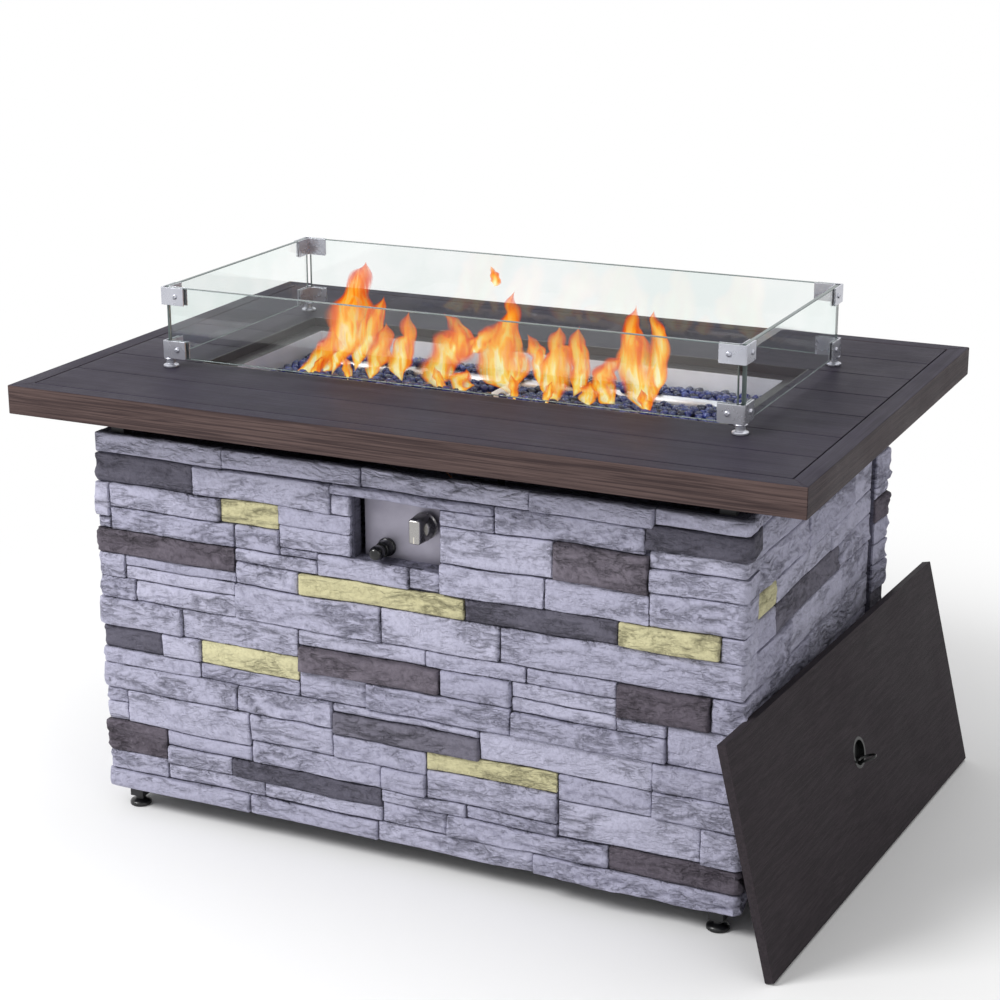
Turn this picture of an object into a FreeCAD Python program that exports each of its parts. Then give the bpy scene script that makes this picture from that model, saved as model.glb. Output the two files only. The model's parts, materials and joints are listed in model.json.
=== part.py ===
"""Fire pit table: slatted top with a burner well, glass wind guard, lift-off lid and a
stone-look base that hides the gas tank.

Millimetres. The origin is on the floor under the middle of the table. X runs along the
table to the right, -Y is the front with the controls and +Z is up.
"""
import FreeCAD, Part
import math
import os
import re

import Sketcher
from FreeCAD import Placement, Rotation, Vector

SIZES = {
    # table as a whole
    "top_long": 1100, "top_wide": 735, "top_height": 616,
    # top: edge rails, slats and the frame under them
    "apron_high": 39, "border_wide": 25, "skin_thick": 3, "slat_gap": 1.5,
    "bar_wide": 30, "bar_set_back": 6, "tube_wide": 20, "tube_wall": 2, "weep_radius": 3,
    # burner well
    "opening_long": 756, "opening_wide": 308, "trim_thick": 2, "ledge_wide": 18,
    "ledge_thick": 2, "flange_wide": 25, "pan_sheet": 1.5, "pan_deep": 62, "pan_gap": 1,
    # burner and what feeds it
    "burner_long": 600, "burner_spacing": 116, "burner_radius": 8, "burner_wall": 1.2,
    "burner_drop": 31, "port_radius": 1.1, "port_pitch": 20, "riser_radius": 14,
    "pipe_radius": 10.5, "pipe_below": 22, "nut_radius": 18, "nut_high": 8,
    "mixer_radius": 14, "mixer_long": 52, "mixer_wall": 2, "mixer_neck": 5,
    "mixer_taper": 8, "mixer_floor": 6, "hose_lip": 1, "window_wide": 10,
    "window_low": 16, "window_top": 12, "bead_drop": 34,
    # spark electrode, heat sensor tip and their shield
    "spark_end_inset": 35, "spark_side_inset": 31, "spark_spacing": 16,
    "spark_hole_radius": 4.5, "probe_radius": 3.5, "probe_collar_radius": 7,
    "probe_collar_high": 3, "probe_below": 6, "probe_neck": 30, "probe_tip_radius": 1,
    "probe_high": 44, "sensor_tip_radius": 3, "sensor_collar_radius": 6,
    "shield_long": 36, "shield_wide": 30, "shield_drop": 22, "shield_sheet": 1.2,
    # controls
    "recess_low": 424, "recess_high": 508, "recess_left": -68, "recess_right": 55,
    "recess_deep": 20, "recess_wall": 6, "plate_thick": 1.5, "plate_slot": 6,
    "plate_screw_inset": 12, "plate_screw_radius": 1.5, "plate_screw_head": 3,
    "plate_screw_head_high": 2, "knob_x": 28, "knob_z": 476, "knob_radius": 18,
    "knob_edge": 0.8, "skirt_high": 5, "skirt_slope": 3, "skirt_slope_high": 1.5,
    "grip_long": 34, "grip_wide": 11, "grip_high": 28, "knob_lift": 6, "push_travel": 4,
    "stem_radius": 4, "stem_long": 46, "stem_grip": 8, "stem_end_room": 1,
    "collar_radius": 6.7, "collar_high": 3, "collar_back": 1, "valve_wide": 36,
    "valve_deep": 30, "boss_radius": 11, "boss_high": 14.5, "cavity_radius": 7,
    "cavity_deep": 12, "spigot_wall": 2, "spigot_long": 10, "inlet_radius": 6.5,
    "inlet_long": 30, "inlet_wall": 3, "inlet_flange": 2.5, "inlet_flange_long": 8,
    "inlet_chamfer": 1, "inlet_chamfer_long": 2,
    "button_x": -30, "button_z": 438, "button_radius": 7.5, "button_out": 39,
    "button_edge": 2, "button_travel": 4, "bezel_radius": 12.5, "bezel_high": 17,
    "bezel_wall": 2.2, "bezel_rim": 4, "bezel_shoulder": 10, "bezel_shoulder_step": 1,
    "bezel_lip_step": 2.5, "bezel_lip": 1, "barrel_long": 18, "ring_nut_radius": 14,
    "ring_nut_high": 4, "module_radius": 11, "module_long": 36, "module_edge": 1,
    # wind guard
    "guard_long": 826, "guard_wide": 390, "glass_thick": 6, "glass_high": 98,
    "glass_corner_gap": 2, "bracket_leg": 33, "bracket_high": 24, "bracket_thick": 2.5,
    "bracket_round": 8, "plate_leg": 28, "inner_plate_thick": 1.5,
    "guard_screw_radius": 2, "screw_in": 20, "screw_end": 1, "screw_head_radius": 3.6,
    "screw_head_high": 2, "guard_foot_radius": 10.5, "guard_foot_high": 13,
    "guard_foot_inset": 5,
    # lid, stood on edge against the right end of the base
    "lid_long": 750, "lid_wide": 302, "lid_thick": 12, "lid_turn": -3.4, "lid_tilt": 13.6,
    "lid_corner_y": -391.9, "cup_radius": 18, "cup_deep": 9, "cup_wall": 1.2,
    "cup_flange": 3, "ring_radius": 12, "ring_wire": 1.6, "ring_pivot": 10.5,
    "ring_pin": 2.2,
    "ring_depth": 3.2, "ring_open": 80,
    # stone-look base
    "base_long": 932, "base_wide": 620, "panel_low": 34, "panel_high": 546,
    "slab_thick": 8, "return_deep": 60, "relief_least": 3, "relief_most": 9,
    "side_relief": 6, "end_room": 1.5, "magnet_radius": 7, "magnet_thick": 4,
    "hook_deep": 14, "hook_thick": 6,
    # legs, rails and levelling feet
    "leg_low": 14, "lower_rail_low": 50, "insert_flange": 2, "insert_long": 18,
    "stud_radius": 4, "stud_long": 48, "foot_radius": 15, "foot_high": 8,
    "foot_chamfer": 3, "foot_neck_radius": 7, "bolt_radius": 2.5, "bolt_head_radius": 4.5,
    "bolt_head_high": 3, "bolt_grip": 6, "bolt_low": 96, "bolt_high": 470,
    "bolt_step": 26,
    # hose and leads
    "hose_radius": 5, "spark_lead_radius": 1.5, "sensor_lead_radius": 1.25,
    # clearances, and how far a cut reaches past the face it opens
    "rest_gap": 0.3, "run_gap": 0.1, "screw_gap": 0.2, "cut_past": 1,
}

DERIVED = {
    "slat_high": "lid_thick + pan_sheet + ledge_thick",
    "slat_low": "top_height - slat_high",
    "frame_low": "slat_low - tube_wide",
    "apron_low": "top_height - apron_high",
    "frame_end": "top_long/2 - skin_thick",
    "frame_side": "top_wide/2 - skin_thick",
    "slat_end": "top_long/2 - border_wide - slat_gap",
    "slat_side": "top_wide/2 - border_wide - slat_gap",
    "well_end": "opening_long/2",
    "well_side": "opening_wide/2",
    "trim_end": "well_end + trim_thick",
    "trim_side": "well_side + trim_thick",
    "long_slat_wide": "(slat_side - trim_side - slat_gap)/2",
    "short_slat_wide": "(2*trim_side - 4*slat_gap)/3",
    "bar_end": "well_end - ledge_wide + bar_set_back",
    "bar_side": "well_side - ledge_wide + bar_set_back",
    "flange_top": "slat_low + ledge_thick + pan_sheet",
    "pan_end": "well_end - flange_wide",
    "pan_side": "well_side - flange_wide",
    "spark_x": "spark_end_inset - pan_end",
    "spark_y": "pan_side - spark_side_inset",
    "pan_low": "flange_top - pan_deep",
    "pan_floor": "pan_low + pan_sheet",
    "burner_z": "top_height - burner_drop - burner_radius",
    "bead_top": "top_height - bead_drop",
    "throat_radius": "hose_radius - hose_lip",
    "pipe_low": "pan_low - pipe_below",
    "mixer_low": "pipe_low - mixer_long",
    "slab_front": "base_wide/2 - relief_most",
    "slab_back": "slab_front - slab_thick",
    "return_out": "base_long/2 - relief_most",
    "return_in": "return_out - slab_thick",
    "side_out": "return_in - rest_gap",
    "side_in": "side_out - slab_thick",
    "leg_x": "side_in - tube_wide/2",
    "leg_y": "slab_back - tube_wide/2",
    "leg_room": "tube_wide/2 - tube_wall",
    "plate_front": "slab_front - recess_deep",
    "plate_back": "plate_front - plate_thick",
    "knob_back": "plate_front + knob_lift",
    "valve_front": "plate_back - boss_high",
    "valve_back": "valve_front - valve_deep",
    "valve_outlet_y": "valve_back + valve_deep/2",
    "stem_back": "knob_back + skirt_high + stem_grip - stem_long",
    "stem_room": "plate_back - stem_back + push_travel + stem_end_room",
    "barrel_back": "plate_front - barrel_long",
    "guard_low": "top_height + rest_gap + guard_foot_high",
    "glass_end": "guard_long/2",
    "glass_side": "guard_wide/2",
    "foot_end": "glass_end - guard_foot_inset",
    "foot_side": "glass_side - guard_foot_inset",
}

# Stones of the front panel, laid out by eye on a reference panel: left, right, low, high
# and kind (L pale, D dark, B brown and rough, Y yellow).
LAYOUT_LONG, LAYOUT_LOW, LAYOUT_HIGH = 932, 28, 540
FRONT_STONES = (
    (-466, -262, 514, 540, "L"), (-259, -55, 516, 540, "L"), (-52, 178, 516, 540, "L"),
    (181, 342, 516, 540, "L"), (345, 466, 521, 540, "L"),
    (-466, -308, 474, 511, "D"), (-305, -99, 475, 511, "L"), (-96, -71, 476, 500, "L"),
    (-96, 131, 503, 513, "L"), (58, 131, 481, 500, "L"), (134, 331, 481, 513, "L"),
    (334, 466, 489, 518, "D"),
    (-466, -440, 426, 471, "L"), (-466, -440, 408, 423, "L"), (-437, -267, 441, 471, "L"),
    (-264, -178, 441, 472, "Y"), (-175, -71, 450, 473, "L"), (-175, -71, 419, 447, "L"),
    (58, 212, 432, 478, "L"), (215, 337, 431, 478, "B"), (340, 466, 466, 486, "L"),
    (340, 466, 436, 463, "L"),
    (-437, -246, 408, 438, "L"), (-243, -178, 408, 438, "L"), (-466, -246, 374, 405, "B"),
    (-243, -121, 390, 405, "L"), (-175, -121, 408, 416, "L"), (-118, 11, 389, 415, "L"),
    (14, 55, 391, 415, "L"), (58, 200, 391, 429, "L"), (203, 337, 391, 428, "L"),
    (340, 466, 391, 433, "L"),
    (-466, -421, 341, 371, "L"), (-418, -246, 359, 371, "L"), (-243, -151, 359, 387, "L"),
    (-148, 90, 359, 386, "Y"), (93, 298, 359, 388, "D"), (301, 431, 359, 388, "Y"),
    (434, 466, 359, 388, "L"),
    (-418, -248, 340, 356, "L"), (-466, -405, 310, 338, "L"), (-402, -248, 310, 337, "L"),
    (-245, -30, 310, 356, "L"), (-27, 139, 310, 356, "L"), (142, 466, 310, 356, "L"),
    (-466, -333, 270, 307, "L"), (-330, -155, 270, 307, "L"), (-152, 33, 287, 307, "L"),
    (36, 175, 288, 307, "L"), (178, 297, 288, 307, "L"), (300, 420, 267, 307, "B"),
    (423, 466, 267, 307, "L"),
    (-466, -367, 237, 267, "D"), (-364, -306, 237, 267, "L"), (-303, -154, 237, 267, "Y"),
    (-151, 54, 252, 284, "B"), (57, 155, 252, 285, "L"), (158, 297, 267, 285, "L"),
    (-466, -308, 214, 234, "L"), (-305, -154, 214, 234, "L"), (-151, -54, 214, 249, "L"),
    (-51, 155, 214, 249, "L"), (158, 297, 248, 264, "L"), (158, 364, 214, 245, "L"),
    (300, 364, 248, 264, "L"), (367, 466, 214, 264, "L"),
    (-466, -250, 176, 211, "L"), (-247, -104, 176, 211, "L"), (-101, 110, 201, 211, "L"),
    (-101, 110, 170, 198, "D"), (113, 346, 173, 211, "L"), (349, 466, 177, 211, "L"),
    (-466, -429, 155, 173, "L"), (-466, -429, 128, 152, "L"), (-426, -231, 128, 173, "L"),
    (-228, -104, 138, 173, "L"), (-101, 34, 138, 167, "L"), (37, 219, 146, 170, "Y"),
    (222, 346, 138, 170, "L"), (349, 466, 138, 174, "L"),
    (-466, -367, 84, 125, "B"), (-364, -231, 105, 125, "L"), (-364, -263, 78, 102, "L"),
    (-228, -33, 105, 135, "L"), (-30, 34, 105, 135, "L"), (37, 219, 105, 143, "L"),
    (222, 412, 89, 135, "L"), (415, 466, 89, 135, "L"),
    (-466, -367, 55, 81, "L"), (-364, -213, 55, 75, "L"), (-260, -33, 78, 102, "D"),
    (-210, -33, 57, 75, "L"), (-30, 90, 87, 102, "L"), (93, 219, 87, 102, "L"),
    (-30, 62, 57, 84, "L"), (65, 290, 57, 84, "L"), (293, 466, 57, 86, "B"),
    (-466, -236, 28, 52, "L"), (-233, -40, 28, 52, "L"), (-37, 185, 28, 54, "L"),
    (188, 466, 28, 54, "L"),
)
# Stones that take the place of the control recess on the back panel.
BACK_STONES = (
    (-68, 55, 475, 500, "L"), (-68, 55, 446, 472, "D"), (-68, 55, 418, 443, "L"),
)
# Courses of an end panel: low, high, then the joints between its stones, front to back,
# and the kind of each stone.
SIDE_LONG = 497
SIDE_COURSES = (
    (512, 540, (-58, 112), "LLL"), (470, 509, (-118, 92), "LLL"),
    (423, 467, (-38, 162), "LLL"), (390, 420, (-163, 62), "YLL"),
    (350, 387, (-163, 102), "LDL"), (300, 347, (-98, 122), "LLL"),
    (255, 297, (-18,), "LL"), (215, 252, (-148, 42), "LBL"), (170, 212, (2, 142), "LLL"),
    (128, 167, (-88, 112), "LYL"), (84, 125, (-128, 122), "LDL"),
    (55, 81, (-60, 90), "LBL"), (28, 52, (-140, 70), "LLL"),
)
JOINT_WIDE = 3
# Depths follow this share from stone to stone; rough stones take the upper part of them,
# and the returned end of a stone takes the depth of the third stone on.
DEPTH_STEP, ROUGH_LEAST, END_SHIFT = 0.618034, 0.7, 3

CORNERS = ((-1, -1), (1, -1), (-1, 1), (1, 1))
CORNER_NAMES = ("front_left", "front_right", "back_left", "back_right")
PLATE_SCREWS = tuple((x, z) for x in ("recess_left + plate_slot + plate_screw_inset",
                                      "recess_right + recess_wall - plate_screw_inset")
                     for z in ("recess_low - recess_wall/2", "recess_high + recess_wall/2"))
# Largest rounding of a bracket's corner, as a share of its thickness.
ROUND_SHARE = 0.95
# Share of a straight run that the bend at its end may use.
BEND_SHARE = 0.45

doc = FreeCAD.newDocument("FirePitTable")
sheet = doc.addObject("Spreadsheet::Sheet", "Sizes")
kept = []


def fill_sheet():
    """Write the driving sizes as numbers and the sizes that follow from them as formulas."""
    row = 0
    for name, value in SIZES.items():
        row += 1
        sheet.set(f"A{row}", name)
        sheet.set(f"B{row}", str(value))
        sheet.setAlias(f"B{row}", name)
    for name, formula in DERIVED.items():
        row += 1
        sheet.set(f"A{row}", name)
        sheet.set(f"B{row}", "=" + formula)
        sheet.setAlias(f"B{row}", name)
    doc.recompute()


def size(name):
    """Number behind one name of the sheet."""
    return float(sheet.get(name))


def tie(text):
    """Expression with the sheet's name put before every size in it."""
    return re.sub(r"\b[a-z]+(?:_[a-z]+)+\b", r"Sizes.\g<0>", text)


def keep(piece):
    """Count a finished sub-part among those that are written out."""
    kept.append(piece)
    return piece


def place(piece, x="0", y="0", z="0"):
    """Tie a piece's place to the sheet and leave its turn as it is."""
    for axis, text in zip("xyz", (x, y, z)):
        piece.setExpression(f"Placement.Base.{axis}", tie(text))
    return piece


def block(label, x, y, z):
    """Box between a low and a high value along each axis."""
    piece = doc.addObject("Part::Box", label)
    for side, (low, high) in zip(("Length", "Width", "Height"), (x, y, z)):
        piece.setExpression(side, tie(f"({high}) - ({low})"))
    return place(piece, x[0], y[0], z[0])


TURNS = {
    "x": Rotation(Vector(0, 1, 0), 90),
    "y": Rotation(Vector(1, 0, 0), -90),
    "z": Rotation(),
    "front": Rotation(Vector(1, 0, 0), 90),
}


def rod(label, along, radius, at, long):
    """Cylinder that starts at a point and runs along an axis, or towards the front."""
    piece = doc.addObject("Part::Cylinder", label)
    piece.Placement = Placement(Vector(), TURNS[along])
    piece.setExpression("Radius", tie(radius))
    piece.setExpression("Height", tie(long))
    return place(piece, *at)


def fuse(label, *pieces):
    """Pieces joined into one solid."""
    piece = doc.addObject("Part::MultiFuse", label)
    piece.Shapes = list(pieces)
    return piece


def cut(label, base, *tools):
    """A piece less the tools."""
    piece = doc.addObject("Part::Cut", label)
    piece.Base = base
    piece.Tool = tools[0] if len(tools) == 1 else fuse(label + "_tools", *tools)
    return piece


def group(label, pieces):
    """Separate solids that share one node."""
    piece = doc.addObject("Part::Compound", label)
    piece.Links = list(pieces)
    return piece


def made(label, shape):
    """Piece whose shape is worked out in code."""
    piece = doc.addObject("Part::Feature", label)
    piece.Shape = shape
    return piece


def plane_of(owner, role):
    """Origin plane of a body."""
    return [part for part in owner.Origin.OriginFeatures if part.Role == role][0]


def new_sketch(owner, role, lift):
    """Empty sketch on a plane of the body, lifted along the plane's normal."""
    sketch = owner.newObject("Sketcher::SketchObject", owner.Name + "_outline")
    sketch.AttachmentSupport = [(plane_of(owner, role), "")]
    sketch.MapMode = "FlatFace"
    sketch.setExpression("AttachmentOffset.Base.z", tie(lift))
    return sketch


def tie_point(sketch, edge, x, y, rough):
    """Hold the start of an edge at two expressions measured from the sketch's origin."""
    for kind, text, first in (("DistanceX", x, rough.x), ("DistanceY", y, rough.y)):
        index = sketch.addConstraint(Sketcher.Constraint(kind, -1, 1, edge, 1, first))
        sketch.setExpression(f"Constraints[{index}]", tie(text))


def outline(owner, role, points, lift="0"):
    """Closed sketch with straight sides through points given as expressions."""
    sketch = new_sketch(owner, role, lift)
    count = len(points)
    turn = 2 * math.pi / count
    rough = [Vector(100 * math.cos(turn * i), 100 * math.sin(turn * i), 0)
             for i in range(count)]
    for i in range(count):
        sketch.addGeometry(Part.LineSegment(rough[i], rough[(i + 1) % count]), False)
    for i in range(count):
        following = (i + 1) % count
        sketch.addConstraint(Sketcher.Constraint("Coincident", i, 2, following, 1))
    for i, (x, y) in enumerate(points):
        tie_point(sketch, i, x, y, rough[i])
    return sketch


def circle(owner, role, radius, lift="0", x="0", y="0"):
    """Sketch with one circle."""
    sketch = new_sketch(owner, role, lift)
    sketch.addGeometry(Part.Circle(Vector(1, 1, 0), Vector(0, 0, 1), 10), False)
    for kind, text in (("DistanceX", x), ("DistanceY", y)):
        index = sketch.addConstraint(Sketcher.Constraint(kind, -1, 1, 0, 3, 1))
        sketch.setExpression(f"Constraints[{index}]", tie(text))
    index = sketch.addConstraint(Sketcher.Constraint("Radius", 0, 10))
    sketch.setExpression(f"Constraints[{index}]", tie(radius))
    return sketch


def pad(owner, sketch, long, reverse=False):
    """Sketch drawn out into a solid."""
    feature = owner.newObject("PartDesign::Pad", owner.Name + "_pad")
    feature.Profile = sketch
    feature.Reversed = reverse
    feature.setExpression("Length", tie(long))
    return feature


def pocket(owner, sketch, deep, up=False):
    """Hollow cut from the sketch, downwards unless up is set."""
    feature = owner.newObject("PartDesign::Pocket", owner.Name + "_pocket")
    feature.Profile = sketch
    feature.Reversed = up
    feature.setExpression("Length", tie(deep))
    return feature


def turned(label, points):
    """Body turned about its own Z axis from a profile of radius and height."""
    owner = doc.addObject("PartDesign::Body", label)
    sketch = outline(owner, "XZ_Plane", points)
    feature = owner.newObject("PartDesign::Revolution", label + "_turn")
    feature.Profile = sketch
    feature.ReferenceAxis = (sketch, ["V_Axis"])
    feature.Angle = 360
    return owner


def rectangle(half_x, half_y):
    """Corners of a rectangle about the sketch's origin."""
    return [(f"-({half_x})", f"-({half_y})"), (half_x, f"-({half_y})"),
            (half_x, half_y), (f"-({half_x})", half_y)]


def solid_box(x, y, z):
    """Plain box between numbers."""
    return Part.makeBox(x[1] - x[0], y[1] - y[0], z[1] - z[0], Vector(x[0], y[0], z[0]))


def edge_rail(label, long, across, turn):
    """Mitred edge rail: flat border on top, apron outside, open below and inside."""
    owner = doc.addObject("PartDesign::Body", label)
    face = [(f"-{long}/2", f"-{across}/2"), (f"{long}/2", f"-{across}/2"),
            (f"{long}/2 - border_wide", f"-{across}/2 + border_wide"),
            (f"-{long}/2 + border_wide", f"-{across}/2 + border_wide")]
    pad(owner, outline(owner, "XY_Plane", face), "apron_high")
    under = [(f"-{long}/2", f"-{across}/2 + skin_thick"),
             (f"{long}/2", f"-{across}/2 + skin_thick"),
             (f"{long}/2", f"-{across}/2 + 2*border_wide"),
             (f"-{long}/2", f"-{across}/2 + 2*border_wide")]
    pocket(owner, outline(owner, "XY_Plane", under), "apron_high - skin_thick", up=True)
    owner.Placement = Placement(Vector(), Rotation(Vector(0, 0, 1), turn))
    return keep(place(owner, z="apron_low"))


def slat(label, x_low, x_high, y_low, wide):
    """Slat along X: a channel that is open below."""
    owner = doc.addObject("PartDesign::Body", label)
    section = [("0", "0"), ("skin_thick", "0"), ("skin_thick", "slat_high - skin_thick"),
               (f"{wide} - skin_thick", "slat_high - skin_thick"),
               (f"{wide} - skin_thick", "0"), (wide, "0"), (wide, "slat_high"),
               ("0", "slat_high")]
    pad(owner, outline(owner, "YZ_Plane", section), f"({x_high}) - ({x_low})")
    return place(owner, x_low, y_low, "slat_low")


def table_top():
    """Edge rails and slats."""
    for name, long, across, turn in (("front", "top_long", "top_wide", 0),
                                     ("right", "top_wide", "top_long", 90),
                                     ("back", "top_long", "top_wide", 180),
                                     ("left", "top_wide", "top_long", 270)):
        edge_rail(f"edge_rail_{name}", long, across, turn)
    whole = ("-slat_end", "slat_end")
    wide = "long_slat_wide"
    for name, start in (("front_outer", "-slat_side"), ("front_inner", f"-trim_side - {wide}"),
                        ("back_inner", "trim_side"), ("back_outer", f"slat_side - {wide}")):
        keep(slat(f"slat_{name}", *whole, start, wide))
    for name, low, high in (("left", "-slat_end", "-trim_end"),
                            ("right", "trim_end", "slat_end")):
        short = [slat(f"short_slat_{name}_{step + 1}", low, high,
                      f"-trim_side + slat_gap + {step}*(short_slat_wide + slat_gap)",
                      "short_slat_wide")
                 for step in range(3)]
        keep(group(f"short_slats_{name}", short))


def frame_bar(label, x, y):
    """Outer box, inner void and weep hole of one tube of the top frame."""
    z = ("frame_low", "slat_low")
    outer = block(label, x, y, z)
    inner = block(label + "_void", *[(f"{low} + tube_wall", f"{high} - tube_wall")
                                     for low, high in (x, y, z)])
    middle = [f"(({low}) + ({high}))/2" for low, high in (x, y)]
    weep = rod(label + "_weep", "z", "weep_radius", (*middle, "frame_low - cut_past"),
               "tube_wall + 2*cut_past")
    return outer, inner, weep


def top_frame():
    """Welded tube frame that carries the slats and the burner well."""
    bars = []
    for name, rail in (("front", "-frame_side"), ("back", "frame_side - bar_wide")):
        bars.append(frame_bar(f"frame_{name}", ("-frame_end", "frame_end"),
                              (rail, f"{rail} + bar_wide")))
    for name, rail in (("front", "-bar_side - bar_wide"), ("back", "bar_side")):
        bars.append(frame_bar(f"well_{name}", ("-bar_end", "bar_end"),
                              (rail, f"{rail} + bar_wide")))
    between = ("bar_wide - frame_side", "frame_side - bar_wide")
    for name, rail in (("end_left", "-frame_end"), ("cross_left", "-bar_end - bar_wide"),
                       ("cross_right", "bar_end"), ("end_right", "frame_end - bar_wide")):
        bars.append(frame_bar(name, (rail, f"{rail} + bar_wide"), between))
    whole = fuse("frame_bars", *[bar[0] for bar in bars])
    bolt_holes = [rod(f"frame_bolt_hole_{i}", "z", "bolt_radius + screw_gap",
                      (f"{sx}*(bar_end + bar_wide/2)", f"{sy}*leg_y",
                       "frame_low - cut_past"), "bolt_grip + 2*cut_past")
                  for i, (sx, sy) in enumerate(CORNERS)]
    hollow = [piece for bar in bars for piece in bar[1:]]
    keep(cut("top_frame", whole, *hollow, *bolt_holes))


def burner_well():
    """Trim that lines the opening, and the pan that hangs in it."""
    outer = block("trim_outer", ("-trim_end", "trim_end"), ("-trim_side", "trim_side"),
                  ("slat_low", "top_height"))
    well = block("trim_well", ("-well_end", "well_end"), ("-well_side", "well_side"),
                 ("slat_low + ledge_thick", "top_height + cut_past"))
    through = block("trim_through",
                    ("-well_end + ledge_wide", "well_end - ledge_wide"),
                    ("-well_side + ledge_wide", "well_side - ledge_wide"),
                    ("slat_low - cut_past", "top_height"))
    keep(cut("opening_trim", outer, well, through))
    pan = doc.addObject("PartDesign::Body", "burner_pan")
    pad(pan, outline(pan, "XY_Plane", rectangle("pan_end + pan_sheet",
                                                "pan_side + pan_sheet")),
        "pan_deep")
    flange = rectangle("well_end - pan_gap", "well_side - pan_gap")
    pad(pan, outline(pan, "XY_Plane", flange, "pan_deep - pan_sheet"), "pan_sheet")
    pocket(pan, outline(pan, "XY_Plane", rectangle("pan_end", "pan_side"), "pan_deep"),
           "pan_deep - pan_sheet")
    pocket(pan, circle(pan, "XY_Plane", "pipe_radius + rest_gap", "pan_sheet"),
           "pan_sheet")
    for sign, name in (("+", "spark"), ("-", "sensor")):
        pocket(pan, circle(pan, "XY_Plane", "spark_hole_radius", "pan_sheet",
                           f"spark_x {sign} spark_spacing/2", "spark_y"), "pan_sheet")
    keep(place(pan, z="pan_low"))


def burner():
    """Two drilled tubes, a cross tube and the threaded riser that passes the pan."""
    long, radius, wall = size("burner_long"), size("burner_radius"), size("burner_wall")
    level, apart = size("burner_z"), size("burner_spacing")
    along, across = Vector(1, 0, 0), Vector(0, 1, 0)
    outer, inner, ports = [], [], []
    for side in (-apart / 2, apart / 2):
        start = Vector(-long / 2, side, level)
        outer.append(Part.makeCylinder(radius, long, start, along))
        inner.append(Part.makeCylinder(radius - wall, long - 2 * wall,
                                       start + Vector(wall, 0, 0), along))
        count = int((long / 2 - radius) // size("port_pitch"))
        for step in range(-count, count + 1):
            spot = Vector(step * size("port_pitch"), side, level)
            ports.append(Part.makeCylinder(size("port_radius"), radius + size("cut_past"),
                                           spot))
    middle = Vector(0, -apart / 2, level)
    outer.append(Part.makeCylinder(radius, apart, middle, across))
    inner.append(Part.makeCylinder(radius - wall, apart, middle, across))
    floor = size("pan_floor")
    outer.append(Part.makeCylinder(size("riser_radius"), level - floor,
                                   Vector(0, 0, floor)))
    outer.append(Part.makeCylinder(size("pipe_radius"), floor - size("pipe_low"),
                                   Vector(0, 0, size("pipe_low"))))
    bore = size("pipe_radius") - 2 * wall
    inner.append(Part.makeCylinder(bore, level - size("pipe_low"),
                                   Vector(0, 0, size("pipe_low"))))
    shape = outer[0].multiFuse(outer[1:]).cut(inner[0].multiFuse(inner[1:] + ports))
    keep(made("burner_tube", shape.removeSplitter()))
    nut = turned("burner_nut", [("pipe_radius + run_gap", "0"), ("nut_radius", "0"),
                                ("nut_radius", "nut_high"),
                                ("pipe_radius + run_gap", "nut_high")])
    keep(place(nut, z="pan_low - nut_high"))


def air_mixer():
    """Mixing tube under the burner, with two air windows."""
    inner = "mixer_radius - mixer_wall"
    mixer = turned("air_mixer", [
        ("throat_radius", "0"), ("mixer_radius - mixer_neck", "0"),
        ("mixer_radius", "mixer_taper"), ("mixer_radius", "mixer_long"),
        (inner, "mixer_long"), (inner, "mixer_taper + mixer_wall"),
        ("throat_radius", "mixer_floor")])
    left, right, top = "-window_wide/2", "window_wide/2", "mixer_long - window_top"
    window = [(left, "window_low"), (right, "window_low"), (right, top), (left, top)]
    windows = outline(mixer, "XZ_Plane", window, "mixer_radius + cut_past")
    pocket(mixer, windows, "2*mixer_radius + 2*cut_past")
    keep(place(mixer, z="mixer_low"))


def pilot_parts():
    """Spark electrode, and the bent shield around it and the heat sensor's tip."""
    collar_low = "probe_below - probe_collar_high"
    probe = turned("igniter_electrode", [
        ("0", "0"), ("probe_radius", "0"), ("probe_radius", collar_low),
        ("probe_collar_radius", collar_low), ("probe_collar_radius", "probe_below"),
        ("probe_radius", "probe_below"), ("probe_radius", "probe_neck"),
        ("probe_tip_radius", "probe_neck + probe_tip_radius"),
        ("probe_tip_radius", "probe_high"), ("0", "probe_high")])
    keep(place(probe, "spark_x + spark_spacing/2", "spark_y", "pan_low - probe_below"))
    x = ("spark_x - shield_long/2", "spark_x + shield_long/2")
    y = ("spark_y - shield_wide/2", "spark_y + shield_wide/2")
    outer = block("shield_outer", x, y, ("pan_floor", "top_height - shield_drop"))
    inner = block("shield_room", (f"{x[0]} + shield_sheet", f"{x[1]} - shield_sheet"),
                  (f"{y[0]} - cut_past", f"{y[1]} - shield_sheet"),
                  ("pan_floor - cut_past", "top_height - shield_drop - shield_sheet"))
    keep(cut("pilot_shield", outer, inner))


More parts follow.
